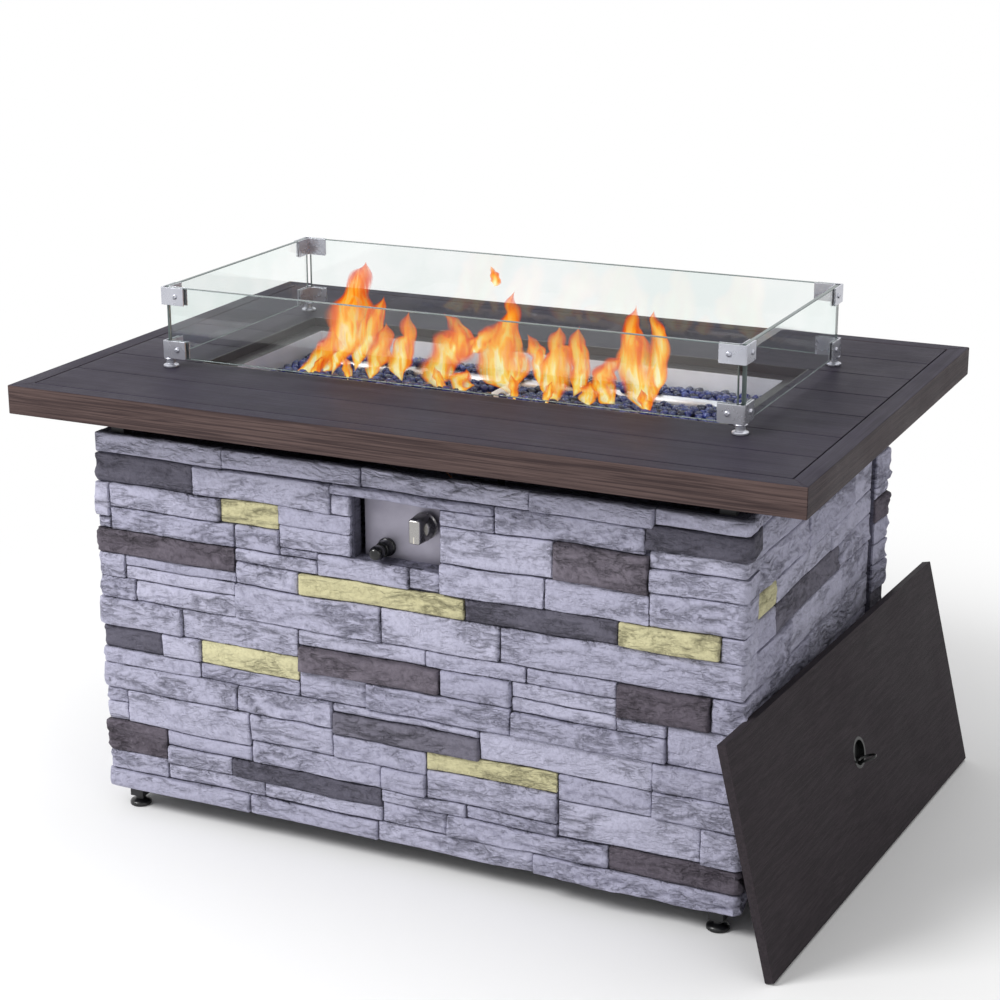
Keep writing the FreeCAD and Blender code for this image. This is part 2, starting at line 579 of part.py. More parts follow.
def bead_bed():
    """Bed of fire glass, cut clear of the burner and the pilot shield."""
    gap, past = size("rest_gap"), size("cut_past")
    end, side = size("pan_end") - gap, size("pan_side") - gap
    floor, top = size("pan_floor"), size("bead_top")
    bed = solid_box((-end, end), (-side, side), (floor + gap, top))
    half_long = size("shield_long") / 2 + gap
    half_wide = size("shield_wide") / 2 + gap
    spot_x, spot_y = size("spark_x"), size("spark_y")
    tools = [solid_box((spot_x - half_long, spot_x + half_long),
                       (spot_y - half_wide, spot_y + half_wide), (floor, top + past))]
    long, radius = size("burner_long") / 2 + gap, size("burner_radius") + gap
    apart, level = size("burner_spacing") / 2, size("burner_z")
    for at in (-apart, apart):
        tools.append(Part.makeCylinder(radius, 2 * long, Vector(-long, at, level),
                                       Vector(1, 0, 0)))
    tools.append(Part.makeCylinder(radius, 2 * apart, Vector(0, -apart, level),
                                   Vector(0, 1, 0)))
    tools.append(Part.makeCylinder(size("riser_radius") + gap, level - floor,
                                   Vector(0, 0, floor)))
    keep(made("fire_glass_bed", bed.cut(tools[0].multiFuse(tools[1:]))))


def control_plate():
    """Bare plate that closes the recess and carries the valve and the igniter."""
    plate = block("plate_blank", ("recess_left + plate_slot", "recess_right + recess_wall"),
                  ("-plate_front", "-plate_back"),
                  ("recess_low - recess_wall", "recess_high + recess_wall"))
    start, through = "-plate_front - cut_past", "plate_thick + 2*cut_past"
    stem = rod("plate_stem_hole", "y", "stem_radius + 2*rest_gap",
               ("knob_x", start, "knob_z"), through)
    barrel = rod("plate_button_hole", "y", "bezel_radius - bezel_wall + rest_gap",
                 ("button_x", start, "button_z"), through)
    holes = [rod(f"plate_screw_hole_{i}", "y", "plate_screw_radius + screw_gap",
                 (x, start, z), through)
             for i, (x, z) in enumerate(PLATE_SCREWS)]
    keep(cut("control_plate", plate, stem, barrel, *holes))
    screws = []
    for i, (x, z) in enumerate(PLATE_SCREWS):
        shank = rod(f"plate_screw_shank_{i}", "front", "plate_screw_radius",
                    (x, "-plate_back", z), "plate_thick + bolt_grip")
        head = rod(f"plate_screw_head_{i}", "y", "plate_screw_head",
                   (x, "-plate_back", z), "plate_screw_head_high")
        screws.append(fuse(f"plate_screw_{i}", shank, head))
    keep(group("plate_screws", screws))


def gas_valve():
    """Valve body behind the plate, with the fitting that the gas supply screws onto."""
    half = "valve_wide/2"
    body = block("valve_block", (f"knob_x - {half}", f"knob_x + {half}"),
                 ("-valve_front", "-valve_back"), (f"knob_z - {half}", f"knob_z + {half}"))
    boss = rod("valve_boss", "y", "boss_radius", ("knob_x", "-plate_back", "knob_z"),
               "boss_high")
    spigot = rod("valve_spigot", "z", "hose_radius + spigot_wall",
                 ("knob_x", "-valve_outlet_y", f"knob_z - {half} - spigot_long"),
                 "spigot_long")
    cavity = rod("valve_cavity", "y", "cavity_radius",
                 ("knob_x", "-plate_back - cut_past", "knob_z"), "cavity_deep + cut_past")
    bore = rod("valve_bore", "y", "stem_radius + run_gap",
               ("knob_x", "-plate_back", "knob_z"), "stem_room")
    keep(cut("gas_valve", fuse("valve_whole", body, boss, spigot), cavity, bore))
    bore, rim = "inlet_radius - inlet_wall", "inlet_radius + inlet_flange"
    inlet = turned("gas_inlet", [
        (bore, "0"), (rim, "0"), (rim, "inlet_flange_long"),
        ("inlet_radius", "inlet_flange_long"),
        ("inlet_radius", "inlet_long - inlet_chamfer_long"),
        ("inlet_radius - inlet_chamfer", "inlet_long"), (bore, "inlet_long")])
    inlet.Placement = Placement(Vector(), TURNS["x"])
    keep(place(inlet, f"knob_x + {half}", "-(valve_front + valve_back)/2", "knob_z"))


def control_knob():
    """Push-and-turn knob: round skirt, bar grip and a bore for the stem."""
    knob = turned("control_knob", [
        ("0", "0"), ("knob_radius - knob_edge", "0"), ("knob_radius", "knob_edge"),
        ("knob_radius", "skirt_high - skirt_slope_high"),
        ("knob_radius - skirt_slope", "skirt_high"), ("0", "skirt_high")])
    grip = rectangle("grip_wide/2", "grip_long/2")
    pad(knob, outline(knob, "XY_Plane", grip, "skirt_high"), "grip_high")
    pocket(knob, circle(knob, "XY_Plane", "stem_radius + run_gap"),
           "skirt_high + stem_grip + run_gap", up=True)
    knob.Placement = Placement(Vector(), TURNS["front"])
    keep(place(knob, "knob_x", "-knob_back", "knob_z"))
    keep(rod("valve_stem", "front", "stem_radius", ("knob_x", "-stem_back", "knob_z"),
             "stem_long"))
    collar = turned("push_collar", [
        ("stem_radius + run_gap", "0"), ("collar_radius", "0"),
        ("collar_radius", "collar_high"), ("stem_radius + run_gap", "collar_high")])
    collar.Placement = Placement(Vector(), TURNS["front"])
    keep(place(collar, "knob_x", "-plate_back + collar_back + collar_high", "knob_z"))


def igniter():
    """Push-button igniter: bezel with its barrel, ring nut, pulse box and button."""
    room = "button_radius + rest_gap"
    barrel = "bezel_radius - bezel_wall"
    bezel = turned("igniter_bezel", [
        (room, "-barrel_long"), (barrel, "-barrel_long"), (barrel, "0"),
        ("bezel_radius", "0"), ("bezel_radius", "bezel_rim"),
        ("bezel_radius - bezel_shoulder_step", "bezel_shoulder"),
        ("bezel_radius - bezel_lip_step", "bezel_high - bezel_lip"),
        ("bezel_radius - bezel_lip_step - bezel_lip", "bezel_high"),
        (room, "bezel_high")])
    nut = turned("igniter_nut", [
        (f"{barrel} + run_gap", "0"), ("ring_nut_radius", "0"),
        ("ring_nut_radius", "ring_nut_high"), (f"{barrel} + run_gap", "ring_nut_high")])
    module = turned("igniter_module", [
        ("0", "0"), ("module_radius - module_edge", "0"), ("module_radius", "module_edge"),
        ("module_radius", "module_long"), ("0", "module_long")])
    button = turned("igniter_button", [
        ("0", "-barrel_long + button_travel + rest_gap"),
        ("button_radius", "-barrel_long + button_travel + rest_gap"),
        ("button_radius", "button_out - button_edge"),
        ("button_radius - button_edge", "button_out"), ("0", "button_out")])
    for piece, level in ((bezel, "-plate_front"), (button, "-plate_front"),
                         (nut, "-plate_back + ring_nut_high"),
                         (module, "-barrel_back + module_long")):
        piece.Placement = Placement(Vector(), TURNS["front"])
        keep(place(piece, "button_x", level, "button_z"))


def guard_points():
    """Signs of each corner of the guard, and the corner's place."""
    for sx, sy in CORNERS:
        yield sx, sy, sx * size("glass_end"), sy * size("glass_side")


def guard_levels():
    """Low end of the bottom and the top brackets."""
    low = size("guard_low")
    return low, low + size("glass_high") - size("bracket_high")


def guard_screw_spots():
    """Place on the glass and inward direction of every guard screw."""
    reach = size("screw_in")
    for low in guard_levels():
        z = low + size("bracket_high") / 2
        for sx, sy, end, side in guard_points():
            yield Vector(end - sx * reach, side, z), Vector(0, -sy, 0)
            yield Vector(end, side - sy * reach, z), Vector(-sx, 0, 0)


def wind_guard():
    """Four panes, corner brackets, inner plates, screws and feet."""
    end, side, thick = size("glass_end"), size("glass_side"), size("glass_thick")
    low, gap = size("guard_low"), size("glass_corner_gap")
    rise = (low, low + size("glass_high"))
    bracket, inner_plate = size("bracket_thick"), size("inner_plate_thick")
    radius, reach = size("guard_screw_radius") + size("screw_gap"), size("screw_in") / 2
    holes = [Part.makeCylinder(radius, thick + 2 * reach, spot - way * reach, way)
             for spot, way in guard_screw_spots()]
    drill = Part.makeCompound(holes)
    panes = {
        "front": ((-end + thick + gap, end - thick - gap), (-side, -side + thick)),
        "back": ((-end + thick + gap, end - thick - gap), (side - thick, side)),
        "left": ((-end, -end + thick), (-side + thick + gap, side - thick - gap)),
        "right": ((end - thick, end), (-side + thick + gap, side - thick - gap)),
    }
    for name, (x, y) in panes.items():
        keep(made(f"guard_glass_{name}", solid_box(x, y, rise).cut(drill)))
    outer, inner = [], []
    for level in guard_levels():
        for sx, sy, edge_x, edge_y in guard_points():
            outer.append(angle(sx, sy, edge_x, edge_y, level, "bracket_leg", bracket,
                               size("bracket_round")).cut(drill))
            inner.append(angle(sx, sy, edge_x - sx * (thick + inner_plate),
                               edge_y - sy * (thick + inner_plate), level, "plate_leg",
                               inner_plate, 0).cut(drill))
    keep(made("guard_brackets", Part.makeCompound(outer)))
    keep(made("guard_inner_plates", Part.makeCompound(inner)))
    screws = []
    for spot, way in guard_screw_spots():
        start = spot - way * bracket
        grip = bracket + thick + inner_plate + size("screw_end")
        shank = Part.makeCylinder(size("guard_screw_radius"), grip, start, way)
        head = Part.makeCylinder(size("screw_head_radius"), size("screw_head_high"),
                                 start - way * size("screw_head_high"), way)
        screws.append(head.fuse(shank).removeSplitter())
    keep(made("guard_screws", Part.makeCompound(screws)))
    feet = [rod(f"guard_foot_{name}", "z", "guard_foot_radius",
                (f"{sx}*foot_end", f"{sy}*foot_side", "top_height + rest_gap"),
                "guard_foot_high")
            for (sx, sy), name in zip(CORNERS, CORNER_NAMES)]
    keep(group("guard_feet", feet))


def angle(sx, sy, edge_x, edge_y, level, leg_name, thick, rounding):
    """Angle plate that wraps a corner whose faces lie at edge_x and edge_y."""
    leg, high = size(leg_name), size("bracket_high")
    out_x, out_y = edge_x + sx * thick, edge_y + sy * thick
    along = solid_box(sorted((out_x, edge_x - sx * leg)), sorted((edge_y, out_y)),
                      (level, level + high))
    across = solid_box(sorted((edge_x, out_x)), sorted((out_y, edge_y - sy * leg)),
                       (level, level + high))
    shape = along.fuse(across).removeSplitter()
    if not rounding:
        return shape
    corner = [edge for edge in shape.Edges
              if abs(edge.BoundBox.XMax - out_x) < 1e-6
              and abs(edge.BoundBox.XMin - out_x) < 1e-6
              and abs(edge.BoundBox.YMax - out_y) < 1e-6
              and abs(edge.BoundBox.YMin - out_y) < 1e-6]
    return shape.makeFillet(min(rounding, thick * ROUND_SHARE), corner)


def lid_axes():
    """Directions along the lid, up its face and out of its face."""
    turn, tilt = math.radians(size("lid_turn")), math.radians(size("lid_tilt"))
    along = Vector(-math.sin(turn), math.cos(turn), 0)
    level = Vector(math.cos(turn), math.sin(turn), 0)
    up = Vector(0, 0, 1) * math.cos(tilt) - level * math.sin(tilt)
    return along, up, along.cross(up)


def lean_point(height):
    """Outer corner of the stone at the front right corner of the base at one height."""
    for number, (_, right, low, high, kind) in enumerate(FRONT_STONES):
        low, high = panel_spot(low, high)
        if right >= LAYOUT_LONG / 2 and low - JOINT_WIDE <= height <= high + JOINT_WIDE:
            return end_reach(number, kind), -size("slab_front") - relief(number, kind)
    return size("base_long") / 2, -size("base_wide") / 2


def lid_place():
    """Stand the lid on its long edge, leaning on the front right corner of the base."""
    along, up, out = lid_axes()
    thick, gap = size("lid_thick"), size("rest_gap")
    top = up * size("lid_wide") - out * thick
    corner_y = size("lid_corner_y")
    lean_x, lean_y = lean_point(gap + thick * out.z + top.z)
    reach = (lean_y - corner_y - top.y) / along.y
    corner_x = lean_x + gap - top.x - along.x * reach
    corner = Vector(corner_x, corner_y, gap + thick * out.z)
    turn = Rotation(Vector(0, 0, 1), 90 + size("lid_turn"))
    lift = Rotation(Vector(1, 0, 0), 90 - size("lid_tilt"))
    return Placement(corner, turn * lift)


def lid():
    """Lid panel with a recessed ring pull, all drawn flat and then stood on edge."""
    stand = lid_place()
    flange = "cup_radius + cup_flange"
    panel = doc.addObject("PartDesign::Body", "lid_panel")
    face = [("0", "0"), ("lid_long", "0"), ("lid_long", "lid_wide"), ("0", "lid_wide")]
    pad(panel, outline(panel, "XY_Plane", face, "-lid_thick"), "lid_thick")
    pocket(panel, circle(panel, "XY_Plane", "cup_radius + run_gap", "0", "lid_long/2",
                         "lid_wide/2"), "cup_deep + run_gap")
    pocket(panel, circle(panel, "XY_Plane", f"{flange} + run_gap", "0", "lid_long/2",
                         "lid_wide/2"), "cup_wall")
    panel.Placement = stand
    keep(panel)
    inner = "cup_radius - cup_wall"
    cup = turned("lid_pull_cup", [
        ("0", "-cup_deep"), ("cup_radius", "-cup_deep"), ("cup_radius", "-cup_wall"),
        (flange, "-cup_wall"), (flange, "0"), (inner, "0"),
        (inner, "-cup_deep + cup_wall"), ("0", "-cup_deep + cup_wall")])
    cross = circle(cup, "YZ_Plane", "ring_pin + run_gap", "0", "-ring_pivot",
                   "-ring_depth")
    slot = pocket(cup, cross, "2*cup_radius")
    slot.Midplane = True
    middle = Vector(size("lid_long") / 2, size("lid_wide") / 2, 0)
    cup.Placement = stand.multiply(Placement(middle, Rotation()))
    keep(cup)
    wire, radius = size("ring_wire"), size("ring_radius")
    pin = size("ring_pin")
    half = math.sqrt(size("cup_radius") ** 2 - (size("ring_pivot") + pin) ** 2)
    half -= size("rest_gap")
    axle = Part.makeCylinder(pin, 2 * half, Vector(-half, 0, 0), Vector(1, 0, 0))
    loop = Part.makeTorus(radius, wire, Vector(0, radius, 0), Vector(0, 0, 1))
    ring = keep(made("lid_pull_ring", axle.fuse(loop)))
    pivot = middle + Vector(0, -size("ring_pivot"), -size("ring_depth"))
    swing = Rotation(Vector(1, 0, 0), size("ring_open"))
    ring.Placement = stand.multiply(Placement(pivot, swing))


def relief(number, kind):
    """How far a stone stands out: uneven, and rough stones furthest."""
    least, most = size("relief_least"), size("relief_most")
    share = (number * DEPTH_STEP) % 1
    if kind == "B":
        share = ROUGH_LEAST + (1 - ROUGH_LEAST) * share
    return least + (most - least) * share


def end_reach(number, kind):
    """How far an end stone of a long panel reaches from the middle of the table."""
    return size("return_out") + relief(number + END_SHIFT, kind)


def panel_spot(low, high):
    """Heights on the reference panel brought to this panel's own height."""
    scale = (size("panel_high") - size("panel_low")) / (LAYOUT_HIGH - LAYOUT_LOW)
    bottom = size("panel_low")
    return bottom + (low - LAYOUT_LOW) * scale, bottom + (high - LAYOUT_LOW) * scale


def long_panel(stones):
    """Front or back panel: slab with returned ends, and its stones."""
    slab_out, slab_in = -size("slab_front"), -size("slab_back")
    end_out, end_in = size("return_out"), size("return_in")
    rise = (size("panel_low"), size("panel_high"))
    back = -size("base_wide") / 2 + size("return_deep")
    pieces = [solid_box((-end_out, end_out), (slab_out, slab_in), rise)]
    for ends in ((-end_out, -end_in), (end_in, end_out)):
        pieces.append(solid_box(ends, (slab_out, back), rise))
    stretch = size("base_long") / LAYOUT_LONG
    edge = LAYOUT_LONG / 2
    for number, (left, right, low, high, kind) in enumerate(stones):
        out = relief(number, kind)
        reach = end_reach(number, kind)
        x = (max(left * stretch, -reach), min(right * stretch, reach))
        z = panel_spot(low, high)
        pieces.append(solid_box(x, (slab_out - out, slab_out), z))
        if left <= -edge:
            pieces.append(solid_box((-reach, -end_out), (slab_out - out, back), z))
        if right >= edge:
            pieces.append(solid_box((end_out, reach), (slab_out - out, back), z))
    return pieces


def front_panel():
    """Front panel with the stepped-back tray for the controls."""
    wall, inner = size("recess_wall"), -size("slab_back")
    left, right = size("recess_left"), size("recess_right")
    low, high = size("recess_low"), size("recess_high")
    plate, past = -size("plate_front"), size("cut_past")
    tray = solid_box((left - wall, right + wall), (inner, plate), (low - wall, high + wall))
    pieces = long_panel(FRONT_STONES)
    opening = solid_box((left, right), (-size("base_wide"), plate + past), (low, high))
    shape = pieces[0].multiFuse(pieces[1:] + [tray]).cut(opening)
    drills = [Part.makeCylinder(size("plate_screw_radius") + size("screw_gap"),
                                size("bolt_grip") + past, Vector(x, plate, z),
                                Vector(0, -1, 0)) for x, z in plate_screw_spots()]
    drills += panel_drills(((-1, -1), (1, -1)), "y")
    keep(made("stone_panel_front", shape.cut(Part.makeCompound(drills))))


def plate_screw_spots():
    """Numbers of the plate screws' places, read from the holes in the control plate."""
    for i in range(len(PLATE_SCREWS)):
        hole = doc.getObject(f"plate_screw_hole_{i}").Placement.Base
        yield hole.x, hole.z


def panel_drills(corners, along):
    """Blind holes for the bolts that hold a panel to the legs."""
    radius = size("bolt_radius") + size("screw_gap")
    grip = size("bolt_grip") + size("cut_past")
    drills = []
    for sx, sy in corners:
        for z in bolt_heights(along):
            if along == "y":
                start = Vector(sx * size("leg_x"), sy * size("slab_back"), z)
                way = Vector(0, sy, 0)
            else:
                start = Vector(sx * size("side_in"), sy * size("leg_y"), z)
                way = Vector(sx, 0, 0)
            drills.append(Part.makeCylinder(radius, grip, start, way))
    return drills


def bolt_heights(along):
    """Heights of the leg bolts, those along X a step above those along Y."""
    step = size("bolt_step") if along == "x" else 0
    return size("bolt_low") + step, size("bolt_high") + step


def back_panel():
    """Lift-away back panel: the front's mould without the recess, held by magnets."""
    pieces = long_panel(FRONT_STONES + BACK_STONES)
    inner, hook = -size("slab_back"), size("hook_thick")
    level = size("lower_rail_low") + size("tube_wide") + size("rest_gap")
    # The hook keeps clear of the feet's studs beside the legs.
    reach = size("leg_x") - 2 * size("tube_wide")
    pieces.append(solid_box((-reach, reach), (inner, inner + size("hook_deep")),
                            (level, level + hook)))
    shape = pieces[0].multiFuse(pieces[1:])
    seats, magnets = [], []
    thick = size("magnet_thick")
    for sx, sy in CORNERS:
        z = bolt_heights("y")[(sy + 1) // 2]
        spot = Vector(sx * size("leg_x"), inner, z)
        seats.append(Part.makeCylinder(size("magnet_radius") + size("run_gap"), thick,
                                       spot, Vector(0, -1, 0)))
        magnets.append(Part.makeCylinder(size("magnet_radius"), thick, spot,
                                         Vector(0, -1, 0)))
    turn = Placement(Vector(0, size("rest_gap"), 0), Rotation(Vector(0, 0, 1), 180))
    panel = keep(made("stone_panel_back", shape.cut(Part.makeCompound(seats))))
    panel.Placement = turn
    discs = keep(made("panel_magnets", Part.makeCompound(magnets)))
    discs.Placement = turn


def end_panel(name, sx):
    """End panel: slab between the legs' outer faces and the returns, with its stones."""
    out, inner = size("side_out"), size("side_in")
    half = size("slab_back")
    rise = (size("panel_low"), size("panel_high"))
    pieces = [solid_box(sorted((sx * inner, sx * out)), (-half, half), rise)]
    room = size("base_wide") / 2 - size("return_deep") - size("end_room")
    stretch = 2 * room / SIDE_LONG
    number = 0
    for low, high, joints, kinds in SIDE_COURSES:
        stops = [-SIDE_LONG / 2 - JOINT_WIDE / 2, *joints, SIDE_LONG / 2 + JOINT_WIDE / 2]
        for start, stop, kind in zip(stops, stops[1:], kinds):
            number += 1
            proud = relief(number, kind) * size("side_relief") / size("relief_most")
            y = ((start + JOINT_WIDE / 2) * stretch, (stop - JOINT_WIDE / 2) * stretch)
            pieces.append(solid_box(sorted((sx * out, sx * (out + proud))), y,
                                    panel_spot(low, high)))
    shape = pieces[0].multiFuse(pieces[1:])
    drills = panel_drills([(sx, -1), (sx, 1)], "x")
    keep(made(f"stone_panel_{name}", shape.cut(Part.makeCompound(drills))))


def leg(name, sx, sy):
    """Square tube leg with the holes for its panel bolts."""
    middle = (f"{sx}*leg_x", f"{sy}*leg_y")
    half = "tube_wide/2"
    rise = ("leg_low + insert_flange", "frame_low")
    outer = block(f"leg_{name}_tube", *[(f"{at} - {half}", f"{at} + {half}")
                                        for at in middle], rise)
    inner = block(f"leg_{name}_void", *[(f"{at} - leg_room", f"{at} + leg_room")
                                        for at in middle],
                  (f"{rise[0]} - cut_past", f"{rise[1]} + cut_past"))
    drills = []
    for along in ("x", "y") if sy < 0 else ("x",):
        for end in ("low", "high"):
            z = f"bolt_{end}" + (" + bolt_step" if along == "x" else "")
            start = [f"{middle[0]} - tube_wide", middle[1]]
            if along == "y":
                start = [middle[0], f"{middle[1]} - tube_wide"]
            drills.append(rod(f"leg_{name}_hole_{along}_{end}", along,
                              "bolt_radius + screw_gap", (*start, z), "2*tube_wide"))
    keep(cut(f"leg_{name}", outer, inner, *drills))


def insert(name, sx, sy):
    """Threaded plug in the end of a leg."""
    middle = (f"{sx}*leg_x", f"{sy}*leg_y")
    flange = block(f"insert_{name}_flange",
                   *[(f"{at} - tube_wide/2", f"{at} + tube_wide/2") for at in middle],
                   ("leg_low", "leg_low + insert_flange"))
    plug = block(f"insert_{name}_plug",
                 *[(f"{at} - leg_room + run_gap", f"{at} + leg_room - run_gap")
                   for at in middle],
                 ("leg_low", "leg_low + insert_flange + insert_long"))
    bore = rod(f"insert_{name}_bore", "z", "stud_radius + run_gap",
               (*middle, "leg_low - cut_past"), "insert_flange + insert_long + 2*cut_past")
    return cut(f"insert_{name}", fuse(f"insert_{name}_blank", flange, plug), bore)


def foot(name, sx, sy):
    """Levelling foot: round pad, neck and stud."""
    neck = "leg_low - rest_gap"
    piece = turned(f"levelling_foot_{name}", [
        ("0", "0"), ("foot_radius", "0"), ("foot_radius", "foot_high - foot_chamfer"),
        ("foot_radius - foot_chamfer", "foot_high"), ("foot_neck_radius", "foot_high"),
        ("foot_neck_radius", neck), ("stud_radius", neck),
        ("stud_radius", f"{neck} + stud_long"), ("0", f"{neck} + stud_long")])
    keep(place(piece, f"{sx}*leg_x", f"{sy}*leg_y"))


def tube(label, along, x, y, z):
    """Square tube that is open at both ends."""
    outer = block(label + "_outer", x, y, z)
    inner_sides = []
    for axis, (low, high) in zip("xyz", (x, y, z)):
        change = "- cut_past" if axis == along else "+ tube_wall"
        other = "+ cut_past" if axis == along else "- tube_wall"
        inner_sides.append((f"{low} {change}", f"{high} {other}"))
    return cut(label, outer, block(label + "_inner", *inner_sides))


def rails(label, low, drilled):
    """Four tubes between the legs at one height."""
    z = (low, f"{low} + tube_wide")
    half = "tube_wide/2"
    pieces = []
    for sign, name in ((-1, "front"), (1, "back")):
        rail = tube(f"{label}_{name}", "x", (f"-leg_x + {half}", f"leg_x - {half}"),
                    (f"{sign}*leg_y - {half}", f"{sign}*leg_y + {half}"), z)
        if drilled:
            holes = [rod(f"{label}_{name}_hole_{i}", "z", "bolt_radius + screw_gap",
                         (f"{sx}*(bar_end + bar_wide/2)", f"{sign}*leg_y",
                          f"{low} - cut_past"), "tube_wide + 2*cut_past")
                     for i, sx in enumerate((-1, 1))]
            rail = cut(f"{label}_{name}_drilled", rail, *holes)
        pieces.append(rail)
    for sign, name in ((-1, "left"), (1, "right")):
        pieces.append(tube(f"{label}_{name}", "y",
                           (f"{sign}*leg_x - {half}", f"{sign}*leg_x + {half}"),
                           (f"-leg_y + {half}", f"leg_y - {half}"), z))
    return pieces


def bolt(start, way, grip):
    """Pan-head bolt from the seat of its head, with its shank along a direction."""
    head_high = size("bolt_head_high")
    shank = Part.makeCylinder(size("bolt_radius"), grip, start, way)
    head = Part.makeCylinder(size("bolt_head_radius"), head_high, start - way * head_high,
                             way)
    return head.fuse(shank).removeSplitter()


def bolts():
    """Bolts through the legs into the panels, and up through the rails into the top."""
    tube_wide, grip = size("tube_wide"), size("bolt_grip")
    panel_bolts, top_bolts = [], []
    for sx, sy in CORNERS:
        for z in bolt_heights("x"):
            start = Vector(sx * (size("leg_x") - tube_wide / 2), sy * size("leg_y"), z)
            panel_bolts.append(bolt(start, Vector(sx, 0, 0), tube_wide + grip))
        if sy < 0:
            for z in bolt_heights("y"):
                start = Vector(sx * size("leg_x"), sy * (size("leg_y") - tube_wide / 2), z)
                panel_bolts.append(bolt(start, Vector(0, sy, 0), tube_wide + grip))
        start = Vector(sx * (size("bar_end") + size("bar_wide") / 2), sy * size("leg_y"),
                       size("frame_low") - tube_wide)
        top_bolts.append(bolt(start, Vector(0, 0, 1), tube_wide + grip))
    keep(made("frame_bolts", Part.makeCompound(panel_bolts + top_bolts)))


def base():
    """Legs, rails, feet, panels and bolts."""
    for name, (sx, sy) in zip(CORNER_NAMES, CORNERS):
        leg(name, sx, sy)
        foot(name, sx, sy)
    keep(group("leg_inserts", [insert(name, sx, sy)
                               for name, (sx, sy) in zip(CORNER_NAMES, CORNERS)]))
    keep(group("base_rails", rails("upper_rail", "frame_low - tube_wide", True)
               + rails("lower_rail", "lower_rail_low", False)))
    doc.recompute()
    front_panel()
    back_panel()
    end_panel("left", -1)
    end_panel("right", 1)
    bolts()


def rounded_path(label, points):
    """Wire of straight runs joined by arcs, each arc as large as its two runs allow."""
    edges, start, radii = [], points[0], []
    for before, corner, after in zip(points, points[1:], points[2:]):
        back, ahead = before - corner, after - corner
        half_turn = (math.pi - back.getAngle(ahead)) / 2
        reach = BEND_SHARE * min(back.Length, ahead.Length)
        radius = reach / math.tan(half_turn)
        back.normalize()
        ahead.normalize()
        inward = back + ahead
        inward.normalize()
        enter, leave = corner + back * reach, corner + ahead * reach
        middle = corner + inward * (radius / math.cos(half_turn) - radius)
        edges.append(Part.LineSegment(start, enter).toShape())
        edges.append(Part.Arc(enter, middle, leave).toShape())
        radii.append(round(radius, 1))
        start = leave
    edges.append(Part.LineSegment(start, points[-1]).toShape())
    print(label, "bend radii", radii)
    return Part.Wire(edges)


def held_tube(label, radius, points):
    """Round tube along a route."""
    path = rounded_path(label, points)
    section = Part.Wire(Part.makeCircle(radius, points[0], points[1] - points[0]))
    shape = path.makePipeShell([section], True, False)
    share = shape.Volume / (math.pi * radius ** 2 * path.Length)
    print(label, "length", round(path.Length, 1), "volume share", round(share, 4))
    return shape


def hose_and_leads():
    """Gas hose from the valve to the mixer, the spark lead and the heat sensor."""
    knob_x = size("knob_x")
    spigot = size("knob_z") - size("valve_wide") / 2 - size("spigot_long")
    outlet = -size("valve_outlet_y")
    mixer = size("mixer_low")
    hose = [Vector(knob_x, outlet, spigot), Vector(knob_x, outlet, 382),
            Vector(22, -205, 332), Vector(12, -130, 314), Vector(3, -56, 331),
            Vector(0, 0, mixer - 80), Vector(0, 0, mixer)]
    keep(made("gas_hose", held_tube("gas_hose", size("hose_radius"), hose)))
    box_back = -(size("barrel_back") - size("module_long"))
    box_z, probe_y = size("button_z"), size("spark_y")
    probe_x = size("spark_x") + size("spark_spacing") / 2
    probe_low = size("pan_low") - size("probe_below")
    lead = [Vector(size("button_x"), box_back, box_z), Vector(size("button_x"), -180, box_z),
            Vector(-48, -138, 455), Vector(-82, -104, 468), Vector(-126, -78, 475),
            Vector(-172, -50, 478), Vector(-214, -16, 477), Vector(-252, 24, 472),
            Vector(-290, 62, 468), Vector(probe_x, probe_y, probe_low - 46),
            Vector(probe_x, probe_y, probe_low)]
    keep(made("igniter_lead", held_tube("igniter_lead", size("spark_lead_radius"), lead)))
    tip_x = size("spark_x") - size("spark_spacing") / 2
    valve_back = -size("valve_back")
    sensor = [Vector(20, valve_back, 486), Vector(20, -192, 486), Vector(2, -150, 494),
              Vector(-34, -118, 500), Vector(-76, -94, 503), Vector(-120, -68, 504),
              Vector(-162, -38, 503), Vector(-204, -4, 500), Vector(-248, 36, 492),
              Vector(-290, 72, 484), Vector(tip_x, probe_y, probe_low - 38),
              Vector(tip_x, probe_y, probe_low)]
    wire = held_tube("heat_sensor", size("sensor_lead_radius"), sensor)
    tip = Part.makeCylinder(size("sensor_tip_radius"), size("probe_high"),
                            Vector(tip_x, probe_y, probe_low))
    high = size("probe_collar_high")
    collar = Part.makeCylinder(size("sensor_collar_radius"), high,
                               Vector(tip_x, probe_y, size("pan_low") - high))
    keep(made("heat_sensor", wire.multiFuse([tip, collar])))


def check_and_write():
    """Stop on any failed object or bad shape, then write one file per sub-part."""
    doc.recompute()
    for item in doc.Objects:
        for word in ("Invalid", "Error"):
            if word in item.State:
                raise RuntimeError(f"{item.Label} is {item.State}")
    for piece in kept:
        if piece.Shape.isNull() or not piece.Shape.isValid():
            raise RuntimeError(f"{piece.Label} has a bad shape")
    os.makedirs("parts", exist_ok=True)
    for piece in kept:
        piece.Shape.exportStep(f"parts/{piece.Label}.step")
        print(piece.Label, "solids", len(piece.Shape.Solids),
              "volume", round(piece.Shape.Volume))
    print("sub-parts", len(kept))


fill_sheet()
table_top()
top_frame()
burner_well()
burner()
air_mixer()
pilot_parts()
bead_bed()
control_plate()
gas_valve()
control_knob()
igniter()
wind_guard()
lid()
base()
hose_and_leads()
check_and_write()
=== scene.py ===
"""Looks of the fire pit table: wood-look slatted top, burner well with glass beads and
flames, glass wind guard, split-stone base and the lid that leans on its right end.

Metres, in the table's own frame: X to the right, -Y to the front, +Z up.
"""
import json
import math
import random

import bmesh
import bpy
from mathutils import Matrix, Vector, noise

